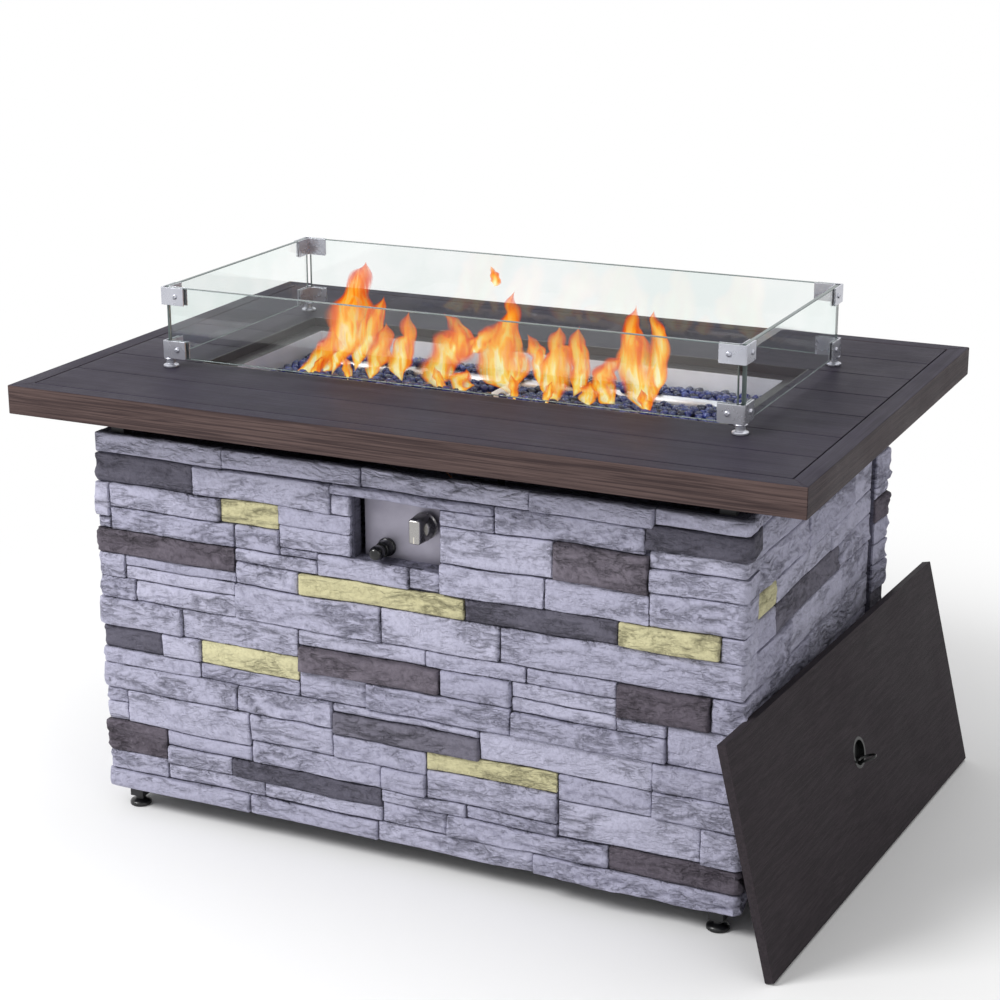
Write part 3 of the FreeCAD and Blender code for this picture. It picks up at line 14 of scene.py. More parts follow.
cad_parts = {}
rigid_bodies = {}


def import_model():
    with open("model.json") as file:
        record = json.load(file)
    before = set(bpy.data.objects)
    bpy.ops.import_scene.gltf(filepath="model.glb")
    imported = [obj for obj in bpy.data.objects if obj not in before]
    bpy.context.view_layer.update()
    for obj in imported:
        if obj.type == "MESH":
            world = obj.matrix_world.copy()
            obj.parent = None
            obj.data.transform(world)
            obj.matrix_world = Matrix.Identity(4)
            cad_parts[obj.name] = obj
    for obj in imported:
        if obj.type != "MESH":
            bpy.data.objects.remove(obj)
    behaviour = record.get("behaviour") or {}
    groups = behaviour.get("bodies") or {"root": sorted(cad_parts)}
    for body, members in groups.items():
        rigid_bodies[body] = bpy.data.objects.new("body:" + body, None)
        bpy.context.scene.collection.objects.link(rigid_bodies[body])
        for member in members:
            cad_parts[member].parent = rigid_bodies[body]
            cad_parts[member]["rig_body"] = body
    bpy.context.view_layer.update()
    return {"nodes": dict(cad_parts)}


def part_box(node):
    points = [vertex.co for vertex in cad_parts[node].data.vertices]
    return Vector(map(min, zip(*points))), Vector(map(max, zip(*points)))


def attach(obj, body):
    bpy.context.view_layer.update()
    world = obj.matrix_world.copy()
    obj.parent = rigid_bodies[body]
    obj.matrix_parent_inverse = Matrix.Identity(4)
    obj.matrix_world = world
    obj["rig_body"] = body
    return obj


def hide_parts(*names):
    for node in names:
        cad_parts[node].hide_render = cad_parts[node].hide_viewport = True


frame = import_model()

MM = 0.001
NODES = frame["nodes"]
SCENE = bpy.context.scene


def colour(red, green, blue):
    """Linear colour of a paint given by its screen values, 0 to 255."""
    steps = [value / 255 for value in (red, green, blue)]
    linear = [s / 12.92 if s <= 0.04045 else ((s + 0.055) / 1.055) ** 2.4 for s in steps]
    return (*linear, 1)


# Shader helpers

def fill(tree, node, sockets):
    """Give a node's sockets their values, or a link where the value is a socket."""
    for name, value in sockets.items():
        if isinstance(value, bpy.types.NodeSocket):
            tree.links.new(value, node.inputs[name])
        else:
            node.inputs[name].default_value = value
    return node


def put(tree, kind, sockets=None, **settings):
    """New shader node with its settings and sockets."""
    made = tree.nodes.new("ShaderNode" + kind)
    for name, value in settings.items():
        setattr(made, name, value)
    return fill(tree, made, sockets or {})


def mixed(tree, factor, first, second, kind="MIX"):
    """Colour between two colours, by a mask; a colour is a socket or screen values."""
    first, second = (tone if isinstance(tone, bpy.types.NodeSocket) else colour(*tone)
                     for tone in (first, second))
    return put(tree, "Mix", {0: factor, 6: first, 7: second}, data_type="RGBA",
               blend_type=kind).outputs[2]


def maths(tree, operation, *values, clamp=False):
    """Result of one sum."""
    return put(tree, "Math", dict(enumerate(values)), operation=operation,
               use_clamp=clamp).outputs[0]


def ranged(tree, value, low, high, to_low=0.0, to_high=1.0, kind="SMOOTHSTEP"):
    """Value stretched from one range to another without overshoot."""
    return put(tree, "MapRange", {"Value": value, "From Min": low, "From Max": high,
                                  "To Min": to_low, "To Max": to_high},
               interpolation_type=kind).outputs["Result"]


def noisy(tree, place, scale, detail, rough=0.55, **sockets):
    """Noise value at a place."""
    return put(tree, "TexNoise", {"Vector": place, "Scale": scale, "Detail": detail,
                                  "Roughness": rough, **sockets}).outputs["Fac"]


def attribute(tree, name):
    """Value that the points of a piece carry."""
    return put(tree, "Attribute", attribute_name=name).outputs["Fac"]


def new_group(name, inputs, outputs):
    """Empty shader group with its place, its numbers and its values, and its two end nodes."""
    tree = bpy.data.node_groups.new(name, "ShaderNodeTree")
    tree.interface.new_socket(name="Place", in_out="INPUT", socket_type="NodeSocketVector")
    for label, value in inputs.items():
        socket = tree.interface.new_socket(name=label, in_out="INPUT",
                                           socket_type="NodeSocketFloat")
        socket.default_value = value
    for label in outputs:
        tree.interface.new_socket(name=label, in_out="OUTPUT", socket_type="NodeSocketFloat")
    return (tree, tree.nodes.new("NodeGroupInput").outputs,
            tree.nodes.new("NodeGroupOutput"))


def use(tree, group, place, **numbers):
    """Outputs of a shared group placed in a material with its own numbers."""
    return put(tree, "Group", {"Place": place, **numbers}, node_tree=group).outputs


def make_grain():
    """Long streaks and pores of a printed wood grain, along the first axis of the place."""
    tree, start, end = new_group("wood_grain", {"Length": 6.0, "Across": 700.0},
                                 ("Streaks", "Pores"))
    wide = put(tree, "CombineXYZ", {"X": start["Length"], "Y": start["Across"],
                                    "Z": start["Across"]})
    along = put(tree, "VectorMath", {0: start["Place"], 1: wide.outputs[0]},
                operation="MULTIPLY").outputs[0]
    wave = noisy(tree, along, 0.35, 5.0, 0.62, Distortion=0.7)
    fine = noisy(tree, along, 1.7, 3.0)
    fill(tree, end, {"Streaks": ranged(tree, wave, 0.36, 0.66),
                     "Pores": ranged(tree, fine, 0.3, 0.7)})
    return tree


def make_speckle():
    """Patches and fine grit of a rough or moulded surface."""
    tree, start, end = new_group("speckle", {"Patch": 14.0, "Grit": 420.0},
                                 ("Patches", "Grit"))
    patch = noisy(tree, start["Place"], start["Patch"], 5.0)
    grit = noisy(tree, start["Place"], start["Grit"], 3.0, 0.7)
    fill(tree, end, {"Patches": ranged(tree, patch, 0.32, 0.68),
                     "Grit": ranged(tree, grit, 0.3, 0.7)})
    return tree


def make_handling():
    """Uneven polish from handling and weather, as a roughness."""
    tree, start, end = new_group("handling", {"Size": 30.0, "Smooth": 0.2, "Dull": 0.35},
                                 ("Roughness",))
    cloud = noisy(tree, start["Place"], start["Size"], 5.0, 0.6)
    fill(tree, end, {"Roughness": ranged(tree, cloud, 0.3, 0.7, start["Smooth"],
                                         start["Dull"], "LINEAR")})
    return tree


def make_flakes():
    """Split stone: relief of flakes between sharp creases over a grain, and masks for painted
    shade and highlight.
    """
    tree, start, end = new_group("stone_flakes", {"Size": 34.0},
                                 ("Relief", "Painted Crease Shade", "Heights"))
    flat = put(tree, "Mapping", {"Vector": start["Place"],
                                 "Scale": (0.62, 0.62, 1.6)}).outputs[0]
    folds = put(tree, "TexNoise", {"Vector": flat, "Scale": start["Size"], "Detail": 5.0,
                                   "Roughness": 0.62, "Lacunarity": 2.3, "Offset": 0.9,
                                   "Gain": 1.6},
                noise_type="RIDGED_MULTIFRACTAL", normalize=True)
    grain = noisy(tree, start["Place"], 150.0, 4.0, 0.66)
    where = ranged(tree, noisy(tree, flat, 11.0, 2.0), 0.4, 0.62, 0.3, 1.0)
    deep = maths(tree, "MULTIPLY", folds.outputs["Fac"], where)
    relief = maths(tree, "MULTIPLY_ADD", deep, -0.9, 1.0)
    # The deepest folds give a painted shade mask; the high grain gives a painted highlight
    # mask.
    fill(tree, end, {"Relief": maths(tree, "MULTIPLY_ADD", grain, 0.42, relief),
                     "Painted Crease Shade": ranged(tree, deep, 0.76, 1.0, 0.0, 0.22),
                     "Heights": ranged(tree, grain, 0.5, 0.72, 0.0, 0.35)})
    return tree


GRAIN, SPECKLE, HANDLING = make_grain(), make_speckle(), make_handling()
FLAKES = make_flakes()


def start_material(name):
    """Material with its surface shader and the place on the piece."""
    paint = bpy.data.materials.new(name)
    paint.use_nodes = True
    tree = paint.node_tree
    return paint, tree, tree.nodes["Principled BSDF"], put(tree, "TexCoord").outputs["Object"]


def polish(tree, place, size, smooth, dull):
    """Roughness that wanders between two values."""
    return use(tree, HANDLING, place, Size=size, Smooth=smooth, Dull=dull)["Roughness"]


def bump(tree, surface, height, strength, distance):
    """Small relief on the surface."""
    made = put(tree, "Bump", {"Height": height, "Strength": strength, "Distance": distance})
    fill(tree, surface, {"Normal": made.outputs[0]})


def wood_look(name, dark, light, turn=0.0, length=12.0, across=800.0, sheen=0.03):
    """Coated metal with a printed wood grain, turned where it runs along Y."""
    paint, tree, surface, place = start_material(name)
    if turn:
        place = put(tree, "Mapping", {"Vector": place,
                                      "Rotation": (0, 0, math.radians(turn))}).outputs[0]
    grain = use(tree, GRAIN, place, Length=length, Across=across)
    shade = ranged(tree, grain["Pores"], 0.0, 1.0, 0.82, 1.0, "LINEAR")
    soft = put(tree, "CombineColor", {"Red": shade, "Green": shade, "Blue": shade})
    tone = mixed(tree, grain["Streaks"], dark, light)
    fill(tree, surface, {"Base Color": mixed(tree, 1.0, tone, soft.outputs[0], "MULTIPLY"),
                         "Roughness": polish(tree, place, 9.0, 0.36, 0.5),
                         "Specular IOR Level": sheen})
    bump(tree, surface, grain["Pores"], 0.25, 0.4 * MM)
    return paint


def spotted(name, tone, shade, patch, grit, size, shine, **sockets):
    """Material with patches of a second tone and an uneven polish, and where its grit is."""
    paint, tree, surface, place = start_material(name)
    spots = use(tree, SPECKLE, place, Patch=patch, Grit=grit)
    fill(tree, surface, {"Base Color": mixed(tree, spots["Patches"], tone, shade),
                         "Roughness": polish(tree, place, size, *shine), **sockets})
    return paint, tree, surface, place, spots["Grit"]


def coated(name, tone, shade, shine=(0.35, 0.5), metal=0.0, grit=600.0, relief=0.12):
    """Powder coat, plastic or rubber: one colour with soft patches and a fine texture."""
    paint, tree, surface, _, fine = spotted(name, tone, shade, 11.0, grit, 24.0, shine,
                                            Metallic=metal)
    bump(tree, surface, fine, relief, 0.3 * MM)
    return paint


def bare_metal(name, tone, shade, shine=(0.18, 0.34), brushed=0.0, metal=1.0):
    """Metal with an uneven polish, brushed along X where asked."""
    paint, tree, surface, place, _ = spotted(name, tone, shade, 16.0, 500.0, 35.0, shine,
                                             Metallic=metal)
    if brushed:
        grain = use(tree, GRAIN, place, Length=8.0, Across=900.0)
        bump(tree, surface, grain["Pores"], brushed, 0.1 * MM)
    return paint


def glass(name, tone, shade, clear=1.0, rough=0.0):
    """Pane, edge or foot of glass, with faint dust on it."""
    return spotted(name, tone, shade, 9.0, 200.0, 14.0, (rough, rough + 0.03),
                   **{"Transmission Weight": clear, "IOR": 1.45})[0]


# The seam colour darkens the grit and streaks, and is the painted shade of seams, creases and
# sides.
def stone(name, pale, dusky, seam, streak=0.0):
    """Cast stone: mottled, gritty, painted shade in hollows and highlight on high grain, one
    tone per stone.
    """
    paint, tree, surface, place = start_material(name)
    spots = use(tree, SPECKLE, place, Patch=22.0, Grit=330.0)
    flakes = use(tree, FLAKES, place)
    tone = mixed(tree, attribute(tree, "tone"), dusky, pale)
    tone = mixed(tree, ranged(tree, spots["Patches"], 0.0, 1.0, 0.22, 0.0), tone, dusky)
    tone = mixed(tree, ranged(tree, spots["Grit"], 0.5, 0.1, 0.0, 0.16), tone, seam)
    # Painted shade in the seams and on the sides of the stones.
    tone = mixed(tree, attribute(tree, "painted_shade"), tone, seam)
    if streak:
        grain = use(tree, GRAIN, place, Length=9.0, Across=120.0)
        tone = mixed(tree, ranged(tree, grain["Streaks"], 0.3, 1.0, 0.0, streak), tone, seam)
    # Painted shade in the creases of the relief, then painted highlight on its high grain.
    tone = mixed(tree, flakes["Painted Crease Shade"], tone, seam)
    fill(tree, surface, {"Base Color": mixed(tree, flakes["Heights"], tone, pale),
                         "Roughness": 0.88, "Specular IOR Level": 0.3})
    bump(tree, surface, flakes["Relief"], 1.0, 7 * MM)
    return paint


def bead_glass():
    """Cobalt glass beads: deep blue, glossy, each with its own depth of colour."""
    paint, tree, surface, place = start_material("fire_glass_beads")
    clouds = use(tree, SPECKLE, place, Patch=60.0, Grit=400.0)
    tone = mixed(tree, attribute(tree, "tone"), (8, 11, 44), (32, 44, 126))
    tone = mixed(tree, ranged(tree, clouds["Patches"], 0.6, 1.0, 0.0, 0.4), tone,
                 (96, 116, 190))
    fill(tree, surface, {"Base Color": tone, "Transmission Weight": 0.1, "IOR": 1.5,
                         "Roughness": polish(tree, place, 50.0, 0.02, 0.12)})
    return paint


# Flame colours from its heart to its edge and tip.
FLAME_STOPS = ((0.0, colour(255, 246, 190)), (0.16, colour(255, 218, 104)),
               (0.4, colour(255, 168, 38)), (0.72, colour(242, 112, 16)),
               (1.0, colour(216, 66, 10)))


def flame_glow():
    """Gas flame: pale yellow heart, orange edges, streaked and soft-edged."""
    paint, tree, surface, place = start_material("gas_flame")
    rise, heart = attribute(tree, "rise"), attribute(tree, "heart")
    drawn = put(tree, "Mapping", {"Vector": place, "Scale": (95, 95, 17)}).outputs[0]
    wisps = put(tree, "TexNoise", {"Vector": drawn, "Scale": 1.0, "Detail": 1.5,
                                   "Distortion": 1.1}).outputs["Fac"]
    outward = ranged(tree, heart, 0.0, 0.8, 0.75, 0.0, "LINEAR")
    upward = ranged(tree, rise, 0.15, 1.0, 0.0, 0.62, "LINEAR")
    warm = maths(tree, "ADD", maths(tree, "ADD", outward, upward),
                 ranged(tree, wisps, 0.32, 0.68, -0.2, 0.2), clamp=True)
    ramp = put(tree, "ValToRGB", {"Fac": warm})
    shades = ramp.color_ramp.elements
    shades[0].color, shades[1].color = FLAME_STOPS[0][1], FLAME_STOPS[-1][1]
    for at, tone in FLAME_STOPS[1:-1]:
        shades.new(at).color = tone
    shown = ranged(tree, heart, 0.0, 0.42)
    for mask in (ranged(tree, wisps, 0.3, 0.6, 0.62, 1.0), ranged(tree, rise, 0.6, 1, 1, 0.5),
                 ranged(tree, rise, 0.0, 0.1, 0.2, 1.0), 0.85):
        shown = maths(tree, "MULTIPLY", shown, mask)
    fill(tree, surface, {"Base Color": (0, 0, 0, 1), "Specular IOR Level": 0.0,
                         "Roughness": 1.0, "Emission Color": ramp.outputs["Color"],
                         "Emission Strength": 1.1, "Alpha": shown})
    return paint


SLAT_TONES = (50, 46, 56), (62, 58, 70)
SLAT = wood_look("slat_wood_look", *SLAT_TONES)
SLAT_END = wood_look("slat_wood_look_end", *SLAT_TONES, 90.0)
RAIL_LONG = wood_look("rail_wood_look_long", (66, 55, 55), (98, 82, 79), length=14.0,
                      across=900.0)
# End rails: the same wood look printed darker, as painted shade.
RAIL_END_PAINTED_SHADE = wood_look("rail_wood_look_end_painted_shade", (52, 44, 48), (72, 62, 64), 90.0, length=14.0,
                     across=900.0)
LID_WOOD = wood_look("lid_wood_look", (54, 50, 53), (63, 57, 61), 90.0, across=700.0,
                     sheen=0.015)
BLACK_STEEL = coated("black_powder_coat", (28, 28, 31), (38, 38, 42))
TRIM = coated("dark_trim_coat", (40, 34, 36), (52, 46, 48), (0.3, 0.42))
STAINLESS = bare_metal("stainless_sheet", (232, 232, 240), (218, 219, 228), (0.34, 0.48),
                       brushed=0.25, metal=0.3)
ZINC = bare_metal("zinc_plate", (176, 178, 184), (150, 153, 160))
BRASS = bare_metal("brass_parts", (196, 160, 88), (166, 130, 64))
CHROME = bare_metal("polished_metal", (204, 205, 213), (180, 182, 192), (0.22, 0.34),
                    metal=0.72)
PLATE = bare_metal("control_plate_metal", (158, 155, 168), (142, 139, 152), (0.42, 0.55),
                   brushed=0.2)
GLOSS_BLACK = coated("gloss_black_plastic", (12, 12, 13), (19, 19, 21), (0.12, 0.22),
                     grit=300.0, relief=0.04)
SATIN = bare_metal("satin_knob_metal", (170, 168, 166), (140, 138, 136), (0.2, 0.34),
                   brushed=0.15)
BLACK_PLASTIC = coated("black_plastic_parts", (16, 16, 18), (24, 24, 27), (0.25, 0.4))
CERAMIC = coated("spark_ceramic", (226, 221, 208), (208, 201, 186))
COPPER = bare_metal("copper_lead", (190, 120, 84), (150, 90, 62))
RUBBER = coated("black_rubber", (20, 20, 21), (30, 30, 31), (0.6, 0.75))
BLACK_METAL = coated("black_ring_metal", (12, 14, 14), (24, 26, 26), (0.22, 0.4), metal=0.3)
PANE = glass("guard_glass_clear", (250, 253, 252), (240, 247, 245))
# Edges of the panes: their own green tint, darkened as painted shade.
PANE_EDGE_TINT_AND_SHADE = glass("guard_glass_edge_tint_and_shade", (112, 126, 126), (88, 104, 102), 0.3, 0.2)
# Faces of the panes that look down: pale glass as a painted highlight.
PANE_FOOT_HIGHLIGHT = glass("guard_glass_foot_painted_highlight", (232, 236, 238), (206, 212, 214), 0.3, 0.2)
BEAD = bead_glass()
FLAME = flame_glow()
STONE_PAINTS = [
    stone("stone_pale", (186, 185, 205), (164, 163, 184), (88, 87, 106)),
    stone("stone_charcoal", (116, 113, 126), (90, 88, 101), (50, 48, 59), 0.25),
    stone("stone_brown", (126, 119, 130), (90, 83, 93), (52, 46, 53), 0.4),
    stone("stone_lemon", (216, 211, 172), (198, 192, 152), (136, 129, 98)),
]
# Slab seen in the joints: darker than the stones, partly its own colour and partly painted
# shade for the joints' shadow.
BACKING = stone("stone_joint_and_shade", (108, 107, 124), (90, 89, 105), (66, 65, 79))


# Mesh helpers

# Corners closer than MERGE are one. Faces that turn less than FLAT_TURN are one flat face,
# and an edge that turns more than SHARP_TURN gets rounded.
MERGE, FLAT_TURN, SHARP_TURN = 0.005 * MM, math.radians(0.5), math.radians(30)
# How much a face looks up, at least, where it counts as the top of its piece.
TOP_FACING = 0.6


def merged(node):
    """Copy of a CAD node's mesh with its loose triangles joined and flat faces whole."""
    shell = bmesh.new()
    shell.from_mesh(NODES[node].data)
    bmesh.ops.remove_doubles(shell, verts=shell.verts, dist=MERGE)
    bmesh.ops.dissolve_limit(shell, angle_limit=FLAT_TURN, verts=shell.verts,
                             edges=shell.edges)
    return shell


def rounded(shell, width, segments=2):
    """Bevel every sharp edge."""
    sharp = [edge for edge in shell.edges if len(edge.link_faces) == 2
             and edge.calc_face_angle(0) > SHARP_TURN]
    bmesh.ops.bevel(shell, geom=sharp, offset=width, offset_type="OFFSET",
                    segments=segments, profile=0.5, affect="EDGES", clamp_overlap=True,
                    material=-1)
    return shell


def cuboid(low, high):
    """Box between two corners."""
    shell = bmesh.new()
    low, high = Vector(low), Vector(high)
    spread = Matrix.Diagonal((*(high - low), 1))
    bmesh.ops.create_cube(shell, size=1, matrix=Matrix.Translation((low + high) / 2) @ spread)
    return shell


def lathe(profile, steps=40):
    """Shape turned about Z from points of radius and height in millimetres."""
    shell = bmesh.new()
    points = [shell.verts.new((radius * MM, 0, level * MM)) for radius, level in profile]
    edges = [shell.edges.new(pair) for pair in zip(points, points[1:])]
    bmesh.ops.spin(shell, geom=points + edges, cent=(0, 0, 0), axis=(0, 0, 1),
                   angle=2 * math.pi, steps=steps, use_merge=True)
    bmesh.ops.remove_doubles(shell, verts=shell.verts, dist=MERGE)
    bmesh.ops.recalc_face_normals(shell, faces=shell.faces)
    return shell


def aim(direction):
    """Turn that brings Z onto a direction."""
    return Vector(direction).to_track_quat("Z", "Y").to_matrix().to_4x4()


def moved(shell, matrix):
    """Shape after a transform."""
    bmesh.ops.transform(shell, matrix=matrix, verts=shell.verts)
    return shell


def middle_of(node):
    """Middle of a node's box."""
    low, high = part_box(node)
    return (low + high) / 2


def to_front(node, y):
    """Transform that sets a turned shape on a node's axis at a depth, facing the front."""
    middle = middle_of(node)
    return Matrix.Translation((middle.x, y, middle.z)) @ aim((0, -1, 0))


def add(whole, shell):
    """Join a shape into another and free it."""
    mesh = bpy.data.meshes.new("joined")
    shell.to_mesh(mesh)
    shell.free()
    whole.from_mesh(mesh)
    bpy.data.meshes.remove(mesh)
    return whole


def toned(shell, tone):
    """Shape whose points all have the same depth of colour."""
    own = shell.verts.layers.float.new("tone")
    for vert in shell.verts:
        vert[own] = tone
    return shell


def even_shading(mesh):
    """Keep flat faces flat right up to their rounded edges."""
    leans = [Vector() for _ in mesh.vertices]
    for flat in mesh.polygons:
        for index in flat.vertices:
            leans[index] += flat.normal * flat.area
    mesh.normals_split_custom_set_from_vertices([lean.normalized() for lean in leans])


def placed(name, data):
    """New object in the scene."""
    made = bpy.data.objects.new(name, data)
    SCENE.collection.objects.link(made)
    return made


def piece(name, shell, paints, node, smooth=32.0, even=False, stands=True):
    """Finished piece that rides with a CAD node and, unless it is extra, stands for it."""
    mesh = bpy.data.meshes.new(name)
    shell.to_mesh(mesh)
    shell.free()
    for paint in paints if isinstance(paints, list) else [paints]:
        mesh.materials.append(paint)
    mesh.shade_smooth()
    mesh.set_sharp_from_angle(angle=math.radians(smooth))
    if even:
        even_shading(mesh)
    made = placed(name, mesh)
    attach(made, NODES[node]["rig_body"])
    if stands:
        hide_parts(node)


def softened(node, paint, width, segments=2, side_paint=None):
    """CAD node with its edges rounded and its finish on, another one on its sides."""
    shell = rounded(merged(node), width * MM, segments)
    shell.normal_update()
    for flat in shell.faces:
        flat.material_index = 1 if side_paint and flat.normal.z < TOP_FACING else 0
    paints = [paint, side_paint] if side_paint else paint
    piece(node + "_finish", shell, paints, node, smooth=60.0, even=True)


def painted(paint, *nodes):
    """CAD nodes whose shape stays and whose finish changes."""
    for node in nodes:
        slots = NODES[node].material_slots
        if not slots:
            NODES[node].data.materials.append(paint)
        for slot in slots:
            slot.material = paint


def islands(node):
    """Separate solids of a node as boxes, from left to right."""
    shell = merged(node)
    left, found = set(shell.verts), []
    while left:
        front, own = [left.pop()], []
        while front:
            vert = front.pop()
            own.append(vert.co.copy())
            near = {edge.other_vert(vert) for edge in vert.link_edges} & left
            left -= near
            front.extend(near)
        found.append([Vector([pick(co[axis] for co in own) for axis in range(3)])
                      for pick in (min, max)])
    shell.free()
    return sorted(found, key=lambda box: [round(v, 4) for v in (*box[0], *box[1])])


# Table top

def table_top():
    """Edge rails and slats with eased edges."""
    for side in ("front", "back"):
        softened(f"edge_rail_{side}", SLAT, 0.9, 2, RAIL_LONG)
    for side in ("left", "right"):
        softened(f"edge_rail_{side}", SLAT_END, 0.9, 2, RAIL_END_PAINTED_SHADE)
    for name in ("front_outer", "front_inner", "back_inner", "back_outer"):
        softened(f"slat_{name}", SLAT, 0.8)
    for side in ("left", "right"):
        softened(f"short_slats_{side}", SLAT, 0.8)
    softened("top_frame", BLACK_STEEL, 1.2)
    softened("opening_trim", TRIM, 0.5)


# Stone base

# Slab behind the stones of the front: half the base's depth, its thickness, half its
# length, where its returned ends stop and the arc of its corners.
SLAB_FRONT, SLAB_THICK = 301 * MM, 8 * MM
RETURN_OUT, RETURN_BACK, CORNER_ARC = 457 * MM, 250 * MM, 4 * MM
CORNER_LONG = math.pi / 2 * CORNER_ARC
# How much further out the back panel stands, and how far out the end panels are.
BACK_GAP, SIDE_OUT = 0.3 * MM, 448.7 * MM
# Recess of the controls: its sides, its floor and top, its tray's far end and wall.
RECESS_X, RECESS_Z = (-68 * MM, 55 * MM), (424 * MM, 508 * MM)
TRAY_END, TRAY_WALL = -281 * MM, 6 * MM

# Grid of a stone's face, its rounded edge, how far it reaches into the joint at each side
# and into the slab, and how much thinner it gets towards the end of a return.
STONE_CELL, STONE_EDGE, JOINT_CLOSED, STONE_ROOT = 4.2 * MM, 1.8 * MM, 0.6 * MM, 2 * MM
RETURN_TAPER = 0.6

# A point inside each coloured stone of the front panel, in millimetres: x and height.
DARK_SPOTS = ((-387, 498), (400, 509), (195, 379), (-417, 258), (4, 190), (-147, 96))
BROWN_SPOTS = ((276, 460), (-356, 395), (360, 293), (-48, 274), (-417, 110), (380, 77))
LEMON_SPOTS = ((-221, 462), (-29, 378), (366, 379), (-229, 258), (128, 164))
FRONT_SPOTS = (DARK_SPOTS, BROWN_SPOTS, LEMON_SPOTS)
# The back panel has one more dark stone, where the front has its recess.
BACK_SPOTS = (DARK_SPOTS + ((-6, 465),), BROWN_SPOTS, LEMON_SPOTS)
# The same for the end panels, measured from the middle towards the back of each.
END_SPOTS = (((-30, 374), (0, 110)), ((-53, 239), (15, 74)), ((-206, 411), (12, 153)))

# Split face: length, height, slant and number of its ledges, and size of chips and grain.
LEDGE_LONG, LEDGE_HIGH, LEDGE_SLANT, LEDGE_STEPS = 90 * MM, 14 * MM, 60 * MM, 2.6
CHIP, GRAIN_SIZE = 24 * MM, 7 * MM
# How far ledges, chips, grain and the lean of a whole stone stand out.
LEDGE_RISE, CHIP_RISE, GRAIN_RISE, LEAN_RISE = 2.8 * MM, 4.6 * MM, 0.7 * MM, 1.0 * MM
# Worn band along a stone's edge: its width, its least wear and what chips add to that.
EDGE_BAND, EDGE_WEAR, CHIP_WEAR = 6 * MM, 0.5 * MM, 2.2 * MM
# How rough the sides of a stone are, along X and Z, and how much grain counts there.
ROUGH_X, ROUGH_Z, SIDE_GRAIN = 2.2 * MM, 1.8 * MM, 0.3
# Waver of the joints: its length along and up, and its reach along and up.
WAVER_LONG, WAVER_HIGH, WAVER_X, WAVER_Z = 95 * MM, 60 * MM, 1.6 * MM, 2.6 * MM
# How strongly each kind of stone is cleft: pale, charcoal, brown and lemon.
CLEFT_LEAST, CLEFT_MOST = (0.4, 0.6, 1.5, 0.5), (2.1, 1.3, 2.3, 1.0)
# How far a stone stands out from its solid, and what it stands out from the slab at least.
STAND_LEAST, STAND_MOST, STONE_LEAST = -1.5 * MM, 3.5 * MM, 4 * MM
# Painted shade along a stone's seams and on its sides, and the least size of a face that is
# one.
SEAM_SHADE, SIDE_SHADE, FACE_LEAST = 0.4, 0.3, 5 * MM


def split_face(at, seed):
    """Relief of a cleft stone face at a place: ledges, chips and grain, and its seams for
    painted shade.
    """
    across = Vector((at.x / LEDGE_LONG, at.z / LEDGE_HIGH + at.x / LEDGE_SLANT, seed))
    level = (noise.noise(across) + 0.5 * noise.noise(across * 2.1)) * LEDGE_STEPS
    base = math.floor(level)
    rise = min(max((level - base - 0.5) * 4 + 0.5, 0.0), 1.0)
    # Seam: a thin line along each ledge step, where the colour gets painted shade.
    seam = 1 - min(abs(level - base - 0.4) * 8.0, 1.0)
    chip_at = Vector((at.x * 0.6 / CHIP, at.z / CHIP, seed * 3))
    chips = 0.45 - noise.turbulence(chip_at, 3, True)
    grain = noise.fractal(Vector((at.x, at.z * 1.5, seed)) / GRAIN_SIZE, 0.8, 2.0, 3)
    return (base + rise) / LEDGE_STEPS, chips, grain, seam


def outline_shift(at):
    """Slow sideways and upward waver that all stones share, so that joints stay even."""
    spot = Vector((at.x / WAVER_LONG, 0.3, at.z / WAVER_HIGH))
    return (WAVER_X * noise.noise(spot + Vector((3, 7, 1))),
            WAVER_Z * noise.noise(spot * Vector((1, 1, 0.8))))


def gridded(shell, cell):
    """Cut long edges along X and Z into even lengths."""
    for axis in (0, 2):
        lengths = {}
        for edge in shell.edges:
            span = edge.verts[1].co - edge.verts[0].co
            if abs(span[axis]) > 0.98 * span.length and span.length > 1.6 * cell:
                lengths.setdefault(round(span.length, 5), []).append(edge)
        for length, edges in lengths.items():
            bmesh.ops.subdivide_edges(shell, edges=edges, cuts=round(length / cell) - 1,
                                      use_grid_fill=True)


def blank_stone(box, wrap):
    """Gridded block of one stone, with its ends drawn out where they pass a corner."""
    (x_low, x_high), (z_low, z_high), out = box
    round_end = RETURN_OUT + CORNER_LONG + SLAB_FRONT - RETURN_BACK
    left, right = x_low < -RETURN_OUT - 1 * MM, x_high > RETURN_OUT + 1 * MM
    start = -round_end if wrap and left else x_low - JOINT_CLOSED
    stop = round_end if wrap and right else x_high + JOINT_CLOSED
    shell = cuboid((start, -SLAB_FRONT - out, z_low - JOINT_CLOSED),
                   (stop, -SLAB_FRONT + STONE_ROOT, z_high + JOINT_CLOSED))
    rounded(shell, STONE_EDGE)
    gridded(shell, STONE_CELL)
    return shell, (start + stop) / 2, (stop - start) / 2, (left, right)


